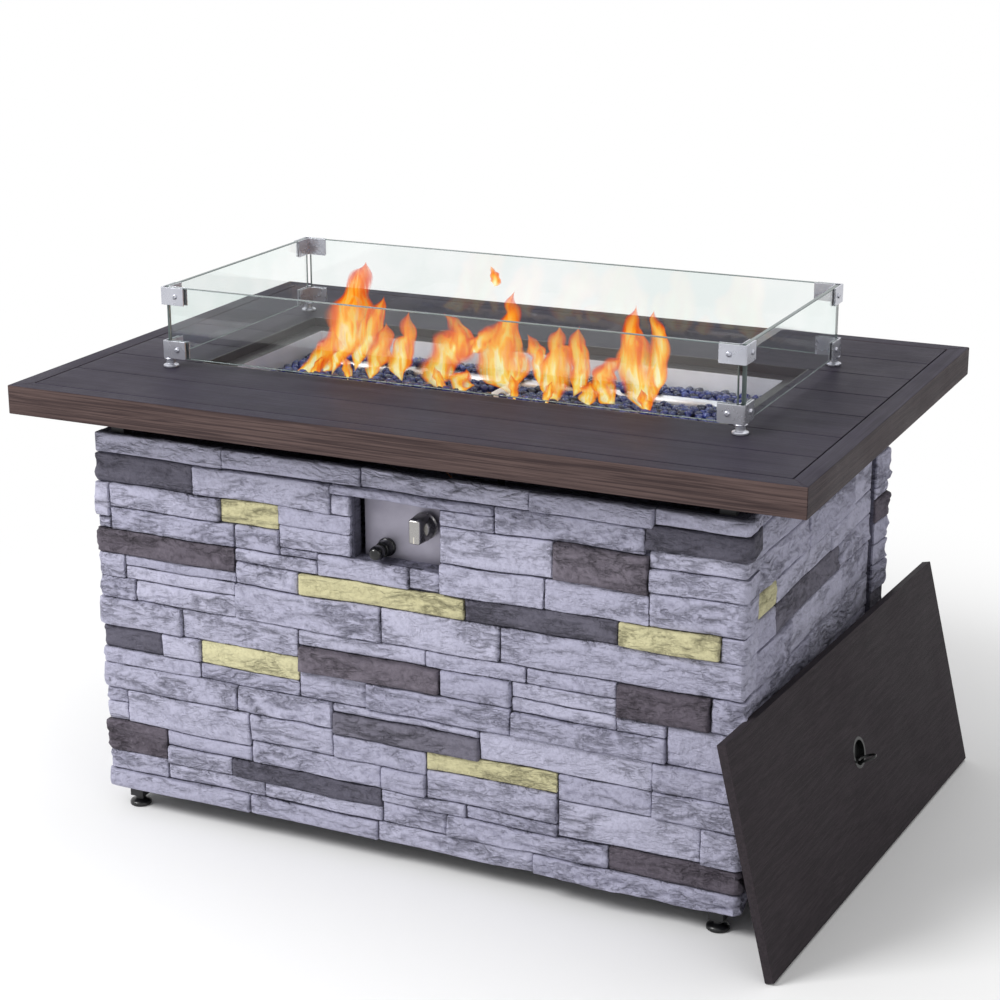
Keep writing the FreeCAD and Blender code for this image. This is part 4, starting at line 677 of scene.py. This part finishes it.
def one_stone(box, kind, seed, wrap):
    """One split stone in the front panel's place; wrap bends its ends round the corners."""
    shell, middle_x, half_x, past = blank_stone(box, wrap)
    middle_z, half_z = sum(box[1]) / 2, (box[1][1] - box[1][0]) / 2
    tone_of = shell.verts.layers.float.new("tone")
    painted_shade_of = shell.verts.layers.float.new("painted_shade")
    draw = random.Random(seed)
    tone = draw.random()
    lean_z, lean_x = draw.uniform(-1, 1), draw.uniform(-1, 1)
    force = CLEFT_LEAST[kind] + (CLEFT_MOST[kind] - CLEFT_LEAST[kind]) * draw.random() ** 1.6
    stand = draw.uniform(STAND_LEAST, STAND_MOST)
    shell.normal_update()
    normals = [vert.normal.copy() for vert in shell.verts]
    for vert, normal in zip(shell.verts, normals):
        at = vert.co.copy()
        facing, side = max(-normal.y, 0.0), 1 - max(-normal.y, 0.0)
        edge = min(half_x - abs(at.x - middle_x), half_z - abs(at.z - middle_z))
        inner = min(max(edge / EDGE_BAND, 0.0), 1.0)
        ledge, chips, grain, seam = split_face(at, seed * 0.37)
        slope = lean_z * (at.z - middle_z) / half_z + lean_x * (at.x - middle_x) / half_x
        lift = force * (LEDGE_RISE * ledge + CHIP_RISE * chips) + GRAIN_RISE * grain
        lift = lift * (0.5 + 0.5 * inner) + LEAN_RISE * slope + stand
        worn = (EDGE_WEAR + CHIP_WEAR * max(chips + 0.2, 0.0)) * (1 - inner) ** 2
        vert.co.y -= facing * max(lift - worn, STONE_LEAST - box[2])
        shift_x, shift_z = outline_shift(at)
        rough = side * (chips + SIDE_GRAIN * grain)
        vert.co.x += shift_x + ROUGH_X * normal.x * rough
        vert.co.z += shift_z + ROUGH_Z * normal.z * rough
        vert[tone_of] = tone
        # Painted shade: darker along the ledge seams of the face and on the stone's sides, in
        # the joints.
        vert[painted_shade_of] = min(1.0, SEAM_SHADE * seam * facing * inner * min(force, 1.3)
                             + SIDE_SHADE * side)
    for flat in shell.faces:
        flat.material_index = kind
    if wrap:
        bend(shell, *past)
    return shell


def bend(shell, left, right):
    """Bend what lies past the base's corners back along its ends."""
    for vert in shell.verts:
        sign = 1 if vert.co.x > 0 else -1
        past = abs(vert.co.x) - RETURN_OUT
        if past <= 0 or not (right if sign > 0 else left):
            continue
        turn = min(past / CORNER_LONG, 1.0) * math.pi / 2
        beyond = max(past - CORNER_LONG, 0.0)
        ease = 1 - RETURN_TAPER * min(beyond / (SLAB_FRONT - RETURN_BACK), 1.0)
        depth = (-SLAB_FRONT - vert.co.y) * ease
        vert.co.x = sign * (RETURN_OUT + depth * math.sin(turn))
        vert.co.y = -SLAB_FRONT - depth * math.cos(turn) + beyond


def stone_boxes(node, turn, level, limit):
    """Front faces of the stones of a CAD panel once it is turned to face the front."""
    shell = moved(merged(node), Matrix.Rotation(math.radians(-turn), 4, "Z"))
    found = []
    for flat in shell.faces:
        spots = [vert.co for vert in flat.verts]
        if flat.normal.y > -0.99 or spots[0].y > -level - 0.2 * MM:
            continue
        x = (min(s.x for s in spots), max(s.x for s in spots))
        z = (min(s.z for s in spots), max(s.z for s in spots))
        if min(x[1] - x[0], z[1] - z[0]) > FACE_LEAST and z[0] > limit:
            found.append((x, z, -level - spots[0].y))
    shell.free()
    return sorted(found)


def kind_of(box, spots):
    """Which colour a stone has: 0 pale, 1 charcoal, 2 brown, 3 lemon."""
    (x_low, x_high), (z_low, z_high), _ = box
    found = [kind for kind, places in enumerate(spots, 1) for x, z in places
             if x_low < x * MM < x_high and z_low < z * MM < z_high]
    return found[0] if found else 0


def holed(x, y, z, hole_x, hole_z):
    """Slab with a square hole through its thickness."""
    shell = bmesh.new()
    bmesh.ops.create_grid(shell, x_segments=3, y_segments=3, size=1.5)
    stops_x = (x[0], hole_x[0], hole_x[1], x[1])
    stops_z = (z[0], hole_z[0], hole_z[1], z[1])
    middle = min(shell.faces, key=lambda f: f.calc_center_median().length)
    bmesh.ops.delete(shell, geom=[middle], context="FACES_ONLY")
    for vert in shell.verts:
        column, row = round(vert.co.x + 1.5), round(vert.co.y + 1.5)
        vert.co = Vector((stops_x[column], y[0], stops_z[row]))
    grown = bmesh.ops.extrude_face_region(shell, geom=shell.faces[:])
    verts = [part for part in grown["geom"] if isinstance(part, bmesh.types.BMVert)]
    bmesh.ops.translate(shell, verts=verts, vec=(0, y[1] - y[0], 0))
    bmesh.ops.recalc_face_normals(shell, faces=shell.faces)
    return shell


def wider(stops, wall):
    """Stretch between two stops, made longer by a wall at each end."""
    return stops[0] - wall, stops[1] + wall


def long_backing(low, high, recess):
    """Slab behind the stones with its returned ends, and the tray of the controls."""
    back = -SLAB_FRONT + SLAB_THICK
    if recess:
        shell = holed((-RETURN_OUT, RETURN_OUT), (-SLAB_FRONT, back), (low, high),
                      RECESS_X, RECESS_Z)
        add(shell, holed(wider(RECESS_X, TRAY_WALL), (back, TRAY_END),
                         wider(RECESS_Z, TRAY_WALL), RECESS_X, RECESS_Z))
    else:
        shell = cuboid((-RETURN_OUT, -SLAB_FRONT, low), (RETURN_OUT, back, high))
    for sign in (-1, 1):
        ends = sorted((sign * RETURN_OUT, sign * (RETURN_OUT - SLAB_THICK)))
        add(shell, cuboid((ends[0], back, low), (ends[1], -RETURN_BACK, high)))
    return shell


def panel(side, turn, spots, level, wrap, recess=False):
    """Dressed stone panel: one piece of stones over one piece of backing."""
    node = f"stone_panel_{side}"
    low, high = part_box(node)
    look = Matrix.Rotation(math.radians(turn), 4, "Z")
    stones = bmesh.new()
    # Layers for each stone's own tone and for its painted shade.
    for name in ("tone", "painted_shade"):
        stones.verts.layers.float.new(name)
    for number, box in enumerate(stone_boxes(node, turn, level, low.z - MM), 1):
        add(stones, one_stone(box, kind_of(box, spots), number + round(turn), wrap))
    if not wrap:
        moved(stones, Matrix.Translation((0, SLAB_FRONT - level, 0)))
    piece(f"{side}_stones", moved(stones, look), STONE_PAINTS, node, smooth=48.0)
    if wrap:
        shell = long_backing(low.z, high.z, recess)
    else:
        shell = cuboid((-SLAB_FRONT + SLAB_THICK, -level, low.z),
                       (SLAB_FRONT - SLAB_THICK, -level + SLAB_THICK, high.z))
    piece(f"{side}_stone_backing", moved(rounded(shell, 0.8 * MM), look), BACKING, node)


# Levelling foot with its stud, as radius and height.
FOOT = ((0, 0), (14.2, 0), (15, 0.8), (15, 4), (14.2, 5.4), (11.5, 7.2), (8.2, 8.2), (7, 9.2),
        (7, 13.4), (4, 13.7), (4, 61), (3.2, 61.7), (0, 61.7))


def stone_base():
    """Four stone panels on their legs."""
    panel("front", 0, FRONT_SPOTS, SLAB_FRONT, True, recess=True)
    panel("back", 180, BACK_SPOTS, SLAB_FRONT + BACK_GAP, True)
    panel("right", 90, END_SPOTS, SIDE_OUT, False)
    panel("left", -90, END_SPOTS, SIDE_OUT, False)
    for corner in ("front_left", "front_right", "back_left", "back_right"):
        softened(f"leg_{corner}", BLACK_STEEL, 1.0)
        middle = middle_of(f"levelling_foot_{corner}")
        foot = moved(lathe(FOOT), Matrix.Translation((middle.x, middle.y, 0)))
        piece(f"foot_{corner}_finish", foot, BLACK_PLASTIC, f"levelling_foot_{corner}")
    softened("base_rails", BLACK_STEEL, 1.0)


# Burner well

# Height, half spacing and half length of the burner's tubes, their radius, and the room
# that the beads leave them.
BURNER_Z, BURNER_Y, BURNER_END = 577 * MM, 58 * MM, 300 * MM
TUBE_RADIUS, TUBE_ROOM = 8 * MM, 7.6 * MM
# Top of the beads, half length and half width of the pan, and where its flange shows.
BEAD_TOP, PAN_END, PAN_SIDE, FLANGE_SEEN = 582 * MM, 353 * MM, 129 * MM, 601.8 * MM
SHIELD_X, SHIELD_Y, SHIELD_HALF = -318 * MM, 98 * MM, 18 * MM
# Beads: distance in a row, the share of it between rows, and distance between layers.
BEAD_PITCH, ROW_SHARE, LAYER_PITCH = 12.4 * MM, 0.87, 8 * MM
# In millimetres: how far a bead strays, radii in the bed and in the heap over a tube, and
# the heap's half width and steps.
STRAY, BED_RADII, HEAP_RADII, HEAP_WIDE, HEAP_STEPS = 2.6, (5.4, 8.0), (5.2, 7.4), 7, (7, 12)
# How round and how cube-like a bead is, how much it tilts, and how flat it may be.
BEAD_ROUND, BEAD_CUBE, BEAD_TILT, BEAD_FLAT = 0.72, 0.24, 0.7, (0.55, 0.9)
# How much the bed swells, how far its plain underlay lies below its top, and its grid.
BED_SWELL, BED_DEEP, BED_CELL = 2.2 * MM, 13 * MM, 12 * MM


def clear_of_burner(at, radius):
    """Whether a bead at a place leaves the burner tubes and the pilot shield alone."""
    reach = radius + TUBE_ROOM
    for side in (-BURNER_Y, BURNER_Y):
        past = max(abs(at.x) - BURNER_END, 0.0)
        if math.hypot(at.y - side, at.z - BURNER_Z, past) < reach:
            return False
    past = max(abs(at.y) - BURNER_Y, 0.0)
    if math.hypot(at.x, at.z - BURNER_Z, past) < reach or math.hypot(at.x, at.y) < 2 * reach:
        return False
    return max(abs(at.x - SHIELD_X), abs(at.y - SHIELD_Y)) > SHIELD_HALF + radius


def bead(at, radius, turn, squash):
    """Small glass pebble of a few faces."""
    shell = bmesh.new()
    bmesh.ops.create_cube(shell, size=2)
    bmesh.ops.subdivide_edges(shell, edges=shell.edges[:], cuts=1, use_grid_fill=True)
    for vert in shell.verts:
        vert.co = vert.co.normalized() * BEAD_ROUND + vert.co * BEAD_CUBE
    spread = Matrix.Diagonal((radius, radius * 0.92, radius * squash, 1))
    return moved(shell, Matrix.Translation(at) @ turn @ spread)


def add_bead(beads, at, radius, draw):
    """One bead at a place, with its own turn, flatness and depth of colour."""
    turn = Matrix.Rotation(draw.uniform(0, 2 * math.pi), 4, "Z")
    tilt = Matrix.Rotation(draw.uniform(-BEAD_TILT, BEAD_TILT), 4, "X")
    one = bead(at, radius, turn @ tilt, draw.uniform(*BEAD_FLAT))
    add(beads, toned(one, draw.random()))


def cover_burner(beads, draw):
    """Beads heaped over the burner's tubes, most of them at its left."""
    for side in (-BURNER_Y, BURNER_Y):
        spot = -BURNER_END - TUBE_RADIUS
        while spot < BURNER_END:
            share = max((spot + BURNER_END) / (2 * BURNER_END), 0.0)
            if draw.random() > share ** 1.5:
                radius = draw.uniform(*HEAP_RADII) * MM
                across = draw.uniform(-HEAP_WIDE, HEAP_WIDE) * MM
                lift = math.sqrt((TUBE_RADIUS + radius * 0.8) ** 2 - across ** 2)
                add_bead(beads, Vector((spot, side + across, BURNER_Z + lift)), radius, draw)
            spot += draw.uniform(*HEAP_STEPS) * MM


def bead_bed():
    """Glass beads in two layers over a dark bed that fills the pan."""
    draw = random.Random(11)
    beads = bmesh.new()
    beads.verts.layers.float.new("tone")
    rows = int(PAN_SIDE / (BEAD_PITCH * ROW_SHARE))
    columns = int(PAN_END / BEAD_PITCH)
    for layer in (0, 1):
        for row in range(-rows, rows + 1):
            for column in range(-columns, columns + 1):
                radius = draw.uniform(*BED_RADII) * MM
                swell = BED_SWELL * noise.noise(Vector((column * 0.21, row * 0.21, layer)))
                at = Vector((
                    (column + row % 2 / 2) * BEAD_PITCH + draw.uniform(-STRAY, STRAY) * MM,
                    row * BEAD_PITCH * ROW_SHARE + draw.uniform(-STRAY, STRAY) * MM,
                    BEAD_TOP - radius * 0.7 - layer * LAYER_PITCH + swell
                    + draw.uniform(-1.5, 2.0) * MM))
                inside = abs(at.x) < PAN_END - radius and abs(at.y) < PAN_SIDE - radius
                if inside and clear_of_burner(at, radius):
                    add_bead(beads, at, radius, draw)
    cover_burner(beads, draw)
    piece("fire_glass_beads", beads, BEAD, "fire_glass_bed", smooth=80.0)
    low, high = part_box("fire_glass_bed")
    base = cuboid(low, (high.x, high.y, BEAD_TOP - BED_DEEP))
    gridded(base, BED_CELL)
    piece("fire_glass_depth", rounded(toned(base, 0.1), 1 * MM), BEAD, "fire_glass_bed")


def burner_well():
    """Pan, burner, pilot parts and the beads."""
    pan = rounded(merged("burner_pan"), 0.6 * MM)
    pan.normal_update()
    # The flange's faces above FLANGE_SEEN take the dark trim colour, darker than the steel
    # walls below.
    for flat in pan.faces:
        flat.material_index = 1 if flat.calc_center_median().z > FLANGE_SEEN else 0
    piece("burner_pan_finish", pan, [STAINLESS, TRIM], "burner_pan", smooth=60.0, even=True)
    softened("burner_tube", STAINLESS, 0.25, 1)
    softened("pilot_shield", STAINLESS, 0.35)
    painted(CERAMIC, "igniter_electrode")
    painted(BRASS, "air_mixer", "gas_valve", "gas_inlet")
    painted(ZINC, "burner_nut", "frame_bolts", "plate_screws", "panel_magnets")
    painted(COPPER, "heat_sensor")
    painted(RUBBER, "gas_hose", "igniter_lead")
    painted(BLACK_PLASTIC, "igniter_nut", "igniter_module", "leg_inserts")
    painted(STAINLESS, "valve_stem", "push_collar")
    bead_bed()


# Gas flames, each from foot to tip: place along Y, then x, height and half width.
FLAMES = (
    (-30, ((-247, 584, 5), (-233, 619, 15), (-222, 648, 24), (-213, 681, 25),
           (-206, 707, 15), (-194, 734, 11), (-192, 750, 0))),
    (-38, ((-300, 585, 4), (-276, 597, 9), (-252, 617, 13), (-233, 642, 12),
           (-222, 666, 4))),
    (-16, ((-269, 585, 4), (-254, 600, 9), (-236, 621, 11), (-222, 648, 5))),
    (-8, ((-236, 610, 6), (-240, 630, 12), (-240, 650, 12), (-238, 663, 8),
          (-233, 673, 0))),
    (-2, ((-225, 586, 4), (-216, 613, 10), (-206, 635, 13), (-194, 662, 13),
          (-184, 683, 7), (-179, 697, 0))),
    (-34, ((-184, 585, 6), (-177, 608, 11), (-168, 631, 13), (-159, 651, 10),
           (-156, 670, 0))),
    (-22, ((-140, 585, 7), (-145, 606, 12), (-137, 630, 13), (-128, 649, 10),
           (-133, 667, 8), (-127, 685, 0))),
    (8, ((-166, 585, 5), (-158, 602, 9), (-151, 622, 9), (-147, 642, 0))),
    (-26, ((-82, 583, 11), (-90, 598, 16), (-80, 620, 19), (-61, 642, 22),
           (-50, 658, 17), (-61, 675, 9), (-73, 688, 0))),
    (-20, ((-64, 634, 10), (-41, 645, 10), (-22, 657, 0))),
    (-40, ((-38, 584, 8), (-40, 597, 13), (-34, 609, 8), (-31, 618, 0))),
    (-18, ((22, 583, 17), (18, 602, 25), (11, 630, 28), (8, 651, 28), (16, 672, 16),
           (24, 693, 9), (23, 709, 8), (29, 726, 0))),
    (2, ((57, 594, 5), (54, 625, 9), (48, 645, 9), (38, 664, 0))),
    (-30, ((-28, 638, 3), (-17, 650, 9), (-5, 661, 12), (8, 666, 7))),
    (-14, ((-4, 727, 0), (-1, 736, 6), (-6, 747, 4), (-12, 756, 0))),
    (-32, ((99, 583, 12), (95, 602, 16), (98, 625, 18), (99, 648, 16), (95, 662, 10),
           (102, 676, 7), (104, 689, 0))),
    (-10, ((112, 588, 6), (121, 611, 11), (125, 630, 12), (117, 654, 12),
           (115, 670, 7), (118, 685, 0))),
    (-4, ((80, 606, 5), (74, 627, 8), (79, 641, 6), (82, 653, 0))),
    (-30, ((143, 584, 6), (142, 597, 11), (145, 608, 8), (148, 618, 0))),
    (-24, ((222, 583, 14), (217, 602, 18), (211, 627, 18), (203, 651, 19),
           (200, 671, 17), (196, 692, 11), (201, 708, 7), (204, 724, 0))),
    (-2, ((225, 594, 6), (227, 618, 10), (229, 645, 12), (231, 672, 10),
          (225, 689, 7), (221, 703, 5), (220, 714, 0))),
    (-46, ((-268, 582, 3), (-262, 594, 5), (-254, 607, 5), (-248, 618, 0))),
    (-46, ((-214, 582, 3), (-212, 595, 5), (-215, 609, 5), (-220, 620, 0))),
    (-46, ((-66, 581, 3), (-68, 594, 5), (-74, 608, 5), (-79, 618, 0))),
    (-46, ((46, 580, 3), (42, 594, 5), (38, 608, 5), (36, 620, 0))),
    (-46, ((86, 581, 3), (88, 594, 5), (93, 606, 5), (97, 616, 0))),
    (-46, ((238, 580, 3), (232, 594, 5), (227, 606, 6), (224, 620, 0))),
    (-44, ((186, 594, 7), (173, 609, 13), (169, 625, 14), (176, 642, 11),
           (190, 656, 5))),
)
# Rings and sides of a tongue of flame, how much wider than its line it is, and how flat.
FLAME_RINGS, FLAME_SIDES, FLAME_SPREAD, FLAME_FLAT = 38, 16, 1.3, 0.6
# How ragged a tongue's edge is, and how far it and its heart sway.
FLAME_RAGGED, FLAME_SWAY, HEART_SWAY = 0.5, 4.5, 0.7


def along_line(points, share):
    """Place and half width at a share of a line, smooth through its points."""
    spot = share * (len(points) - 1)
    index = min(int(spot), len(points) - 2)
    part = spot - index
    near = [points[min(max(index + step, 0), len(points) - 1)] for step in (-1, 0, 1, 2)]
    return Vector([0.5 * (2 * b + (c - a) * part + (2 * a - 5 * b + 4 * c - d) * part ** 2
                          + (3 * b - a - 3 * c + d) * part ** 3)
                   for a, b, c, d in zip(*near)])


def tongue(y, points, seed):
    """One closed tongue of flame along a line of points, with its heart marked."""
    shell = bmesh.new()
    bmesh.ops.create_uvsphere(shell, u_segments=FLAME_SIDES, v_segments=FLAME_RINGS,
                              radius=1)
    rise_of = shell.verts.layers.float.new("rise")
    heart_of = shell.verts.layers.float.new("heart")
    for vert in shell.verts:
        share = 1 - math.acos(min(max(vert.co.z, -1.0), 1.0)) / math.pi
        ring = math.hypot(vert.co.x, vert.co.y)
        here = along_line(points, share)
        ahead = along_line(points, min(share + 0.02, 1.0)) - here
        lean = Vector((ahead.y, -ahead.x)).normalized() if ahead.xy.length else Vector((1, 0))
        side = vert.co.x / ring if ring > 0.01 else 0.0
        depth = vert.co.y / ring if ring > 0.01 else 0.0
        half = max(here.z, 0.0) * FLAME_SPREAD * min(1.0, 6 * share, 6 * (1 - share))
        half *= 1 + FLAME_RAGGED * noise.noise(Vector((share * 6, side * 0.8, seed)))
        sway = FLAME_SWAY * share * noise.noise(Vector((share * 4, 0.5, seed * 1.7)))
        wander = HEART_SWAY * noise.noise(Vector((share * 3.1, 4.2, seed * 2.3)))
        vert[rise_of] = share
        vert[heart_of] = 1 - abs(side - wander * (1 - side * side)) if ring > 0.01 else 0.4
        vert.co = Vector((here.x + sway + lean.x * side * half,
                          y + depth * half * FLAME_FLAT,
                          here.y + lean.y * side * half)) * MM
    bmesh.ops.recalc_face_normals(shell, faces=shell.faces)
    return shell


def flames():
    """Tongues of flame over the burner."""
    for number, (y, points) in enumerate(FLAMES, 1):
        piece(f"flame_{number:02d}", tongue(y, points, number), FLAME, "burner_tube",
              smooth=80.0, stands=False)


# Controls

# Profiles of the knob's skirt, the igniter's bezel and its button, as radius and height.
KNOB_SKIRT = ((0, 0), (17.2, 0), (18, 0.8), (18, 2.6), (16.8, 3.6), (15.4, 5.0), (14.4, 9.0),
              (13.2, 13.6), (11.8, 15.4), (0, 15.8))
BEZEL = ((7.8, -18), (10.3, -18), (10.3, 0), (12.5, 0), (12.5, 3.6), (12.1, 4.4), (11.2, 5.0),
         (11.2, 9.6), (10.8, 11.0), (10.0, 15.8), (9.0, 17.0), (7.8, 17.0), (7.8, -18))
BUTTON = ((0, -13.7), (7.5, -13.7), (7.5, 21.6), (8.7, 23.2), (9.5, 26), (9.7, 29),
          (9.2, 32.6), (8.0, 35.8), (6.0, 37.8), (3.3, 38.8), (0, 39))
# Knob's grip: half its width and length, its foot and top, its rounding, and how much
# smaller its top is each way.
GRIP_WIDE, GRIP_LONG, GRIP_FOOT, GRIP_TOP = 9.5 * MM, 17.2 * MM, 4 * MM, 33 * MM
GRIP_ROUND, GRIP_TAPER_X, GRIP_TAPER_Y = 3 * MM, 0.8, 0.93
# Pointer line on the grip: half its width, where it starts and ends, and its two faces.
LINE_WIDE, LINE_START, LINE_END = 0.6 * MM, 6 * MM, 14.6 * MM
LINE_UNDER, LINE_TOP = 32.8 * MM, 33.05 * MM


def knob():
    """Knob with its round skirt, its grip across and the pointer line on it."""
    front = to_front("control_knob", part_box("control_knob")[1].y)
    upright = front @ Matrix.Rotation(math.pi, 4, "Z")
    whole = moved(lathe(KNOB_SKIRT, 48), front)
    grip = cuboid((-GRIP_WIDE, -GRIP_LONG, GRIP_FOOT), (GRIP_WIDE, GRIP_LONG, GRIP_TOP))
    for vert in grip.verts:
        if vert.co.z > (GRIP_FOOT + GRIP_TOP) / 2:
            vert.co.x *= GRIP_TAPER_X
            vert.co.y *= GRIP_TAPER_Y
    add(whole, moved(rounded(grip, GRIP_ROUND, 4), upright))
    line = cuboid((-LINE_WIDE, LINE_START, LINE_UNDER), (LINE_WIDE, LINE_END, LINE_TOP))
    for flat in line.faces:
        flat.material_index = 1
    add(whole, moved(line, upright))
    piece("control_knob_finish", whole, [SATIN, CERAMIC], "control_knob", smooth=50.0)


def controls():
    """Plate, knob and igniter."""
    softened("control_plate", PLATE, 0.3)
    knob()
    front = to_front("igniter_bezel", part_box("control_plate")[0].y)
    for name, profile, steps in (("bezel", BEZEL, 48), ("button", BUTTON, 40)):
        piece(f"igniter_{name}_finish", moved(lathe(profile, steps), front), GLOSS_BLACK,
              f"igniter_{name}")


# Wind guard

# Head of a guard screw with its hollow, and a foot of the guard, as radius and height.
SCREW_HEAD = ((2, -2), (3.6, -2), (3.6, -1.4), (3.2, -0.6), (2.4, -0.1), (1.5, 0),
              (1.5, -1.2), (0, -1.2))
SOCKET = 1.5 * MM
GUARD_FOOT = ((0, 0), (9.8, 0), (10.5, 0.7), (10.5, 2.4), (9.8, 3.2), (7.4, 4.0), (6.4, 5.2),
              (6.4, 9.6), (7.2, 10.6), (8.6, 11.2), (8.8, 12.2), (8.2, 13), (0, 13))


def hex_socket(shell):
    """Press the round hollow of a screw head into a hexagon."""
    wedge = math.radians(60)
    for vert in shell.verts:
        reach = math.hypot(vert.co.x, vert.co.y)
        if 0.2 * MM < reach < SOCKET * 1.05:
            turn = math.atan2(vert.co.y, vert.co.x) % wedge - wedge / 2
            scale = math.cos(wedge / 2) / math.cos(turn)
            vert.co.x *= scale
            vert.co.y *= scale
    return shell


def guard_screw(low, high):
    """Screw that lies along the longer side of a box, with its head outwards."""
    seat, spread = (low + high) / 2, high - low
    axis = 0 if spread.x > spread.y else 1
    out = Vector((0, 0, 0))
    out[axis] = math.copysign(1, seat[axis])
    seat[axis] = high[axis] if out[axis] > 0 else low[axis]
    tip = 1 - spread[axis] / MM
    screw = lathe(((0, tip), (1.6, tip), (2, tip + 0.4), *SCREW_HEAD), 24)
    return moved(hex_socket(screw), Matrix.Translation(seat) @ aim(out))


def wind_guard():
    """Glass panes, corner brackets, screws and turned feet."""
    for side in ("front", "back", "left", "right"):
        pane = rounded(cuboid(*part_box(f"guard_glass_{side}")), 0.9 * MM)
        thin = 1 if side in ("front", "back") else 0
        for flat in pane.faces:
            # Faces looking down take the pale glass, a painted highlight; other edges take the
            # green glass darkened as painted shade.
            under = 2 if flat.normal.z < -0.5 else 1
            flat.material_index = 0 if abs(flat.normal[thin]) > 0.99 else under
        piece(f"guard_pane_{side}", pane, [PANE, PANE_EDGE_TINT_AND_SHADE, PANE_FOOT_HIGHLIGHT],
              f"guard_glass_{side}", smooth=60.0, even=True)
    softened("guard_brackets", CHROME, 0.5, 3)
    softened("guard_inner_plates", CHROME, 0.3)
    screws, feet = bmesh.new(), bmesh.new()
    for box in islands("guard_screws"):
        add(screws, guard_screw(*box))
    for low, high in islands("guard_feet"):
        middle = (low + high) / 2
        add(feet, moved(lathe(GUARD_FOOT), Matrix.Translation((middle.x, middle.y, low.z))))
    piece("guard_screws_finish", screws, CHROME, "guard_screws")
    piece("guard_feet_finish", feet, CHROME, "guard_feet")


def lid():
    """Lid with eased edges, its cup and its ring."""
    softened("lid_panel", LID_WOOD, 1.4, 3)
    softened("lid_pull_cup", BLACK_METAL, 0.3)
    piece("lid_pull_ring_finish", merged("lid_pull_ring"), BLACK_METAL, "lid_pull_ring",
          smooth=50.0)


# Setting

WHITE = (1, 1, 1, 1)
# Lamps: place, power and width, and the point that they face.
LAMPS = {"key": ((-2.3, -2.7, 3.3), 156, 1.6), "fill": ((2.9, -2.0, 1.8), 9, 2.2),
         "top": ((0.2, 0.8, 3.4), 25, 2.6)}
LIT_SPOT = Vector((0, 0, 0.35))
# Light of the surroundings, and where the floor's shadow starts and ends to fade.
SOFT_LIGHT, FADE_START, FADE_END = 0.56, 0.7, 1.5
FLOOR_SIZE, FLOOR_DROP = 30, 0.5 * MM
# Camera: its place, its turn, tip from upright and roll in degrees, its lens, and the
# shift of the photograph's cut.
CAMERA_SPOT = Vector((1.2589, -2.6919, 1.3561))
CAMERA_TURNS = (26.245, "Z"), (90 - 17.264, "X"), (-0.427, "Z")
CAMERA_LENS, CAMERA_SENSOR, CAMERA_SHIFT = 80.9, 36, (0.0427, -0.0054)


def eye_mask(tree):
    """1 where the camera looks, also through glass or in a gloss, and 0 for the light."""
    seen = put(tree, "LightPath").outputs
    straight = maths(tree, "ADD", seen["Is Camera Ray"], seen["Is Transmission Ray"])
    return maths(tree, "ADD", straight, seen["Is Glossy Ray"], clamp=True)


def show_white(tree, end, share, real, white):
    """Plain white over the real surface, by a share."""
    both = put(tree, "MixShader", {0: share, 1: real.outputs[0], 2: white.outputs[0]})
    fill(tree, end, {"Surface": both.outputs[0]})


def floor_paint():
    """Pale floor that keeps the shadow near the table and is plain white further out."""
    paint, tree, surface, place = start_material("pale_floor")
    fill(tree, surface, {"Base Color": (0.9, 0.9, 0.9, 1), "Roughness": 0.9,
                         "Specular IOR Level": 0.1})
    far = put(tree, "VectorMath", {0: place}, operation="LENGTH").outputs["Value"]
    share = maths(tree, "MULTIPLY", ranged(tree, far, FADE_START, FADE_END), eye_mask(tree))
    white = put(tree, "Emission", {"Color": WHITE, "Strength": 1.0})
    show_white(tree, tree.nodes["Material Output"], share, surface, white)
    return paint


def surroundings():
    """World that gives a soft light and looks white."""
    SCENE.world = bpy.data.worlds.new("studio")
    SCENE.world.use_nodes = True
    tree = SCENE.world.node_tree
    tree.nodes.clear()
    soft = put(tree, "Background", {"Color": WHITE, "Strength": SOFT_LIGHT})
    white = put(tree, "Background", {"Color": WHITE, "Strength": 1.0})
    show_white(tree, put(tree, "OutputWorld"), eye_mask(tree), soft, white)


def stage_and_light():
    """Pale floor, white surroundings and soft lamps."""
    surroundings()
    for name, (at, power, wide) in LAMPS.items():
        lamp = bpy.data.lights.new(name, "AREA")
        lamp.energy, lamp.size = power, wide
        holder = placed(name, lamp)
        holder.location = at
        holder.rotation_euler = (LIT_SPOT - Vector(at)).to_track_quat("-Z", "Y").to_euler()
    ground = bmesh.new()
    bmesh.ops.create_grid(ground, x_segments=1, y_segments=1, size=FLOOR_SIZE)
    mesh = bpy.data.meshes.new("floor")
    ground.to_mesh(mesh)
    ground.free()
    mesh.materials.append(floor_paint())
    floor = placed("floor", mesh)
    floor.location.z = -FLOOR_DROP


def camera():
    """Camera at the photograph's place and angle."""
    view = bpy.data.cameras.new("camera")
    view.sensor_width, view.lens = CAMERA_SENSOR, CAMERA_LENS
    view.shift_x, view.shift_y = CAMERA_SHIFT
    view.clip_start, view.clip_end = 0.05, 60
    SCENE.camera = placed("camera", view)
    turned = Matrix.Identity(4)
    for angle, axis in CAMERA_TURNS:
        turned @= Matrix.Rotation(math.radians(angle), 4, axis)
    SCENE.camera.matrix_world = Matrix.Translation(CAMERA_SPOT) @ turned


camera()
stage_and_light()
SCENE.view_settings.view_transform = "Standard"
table_top()
burner_well()
flames()
controls()
wind_guard()
stone_base()
lid()
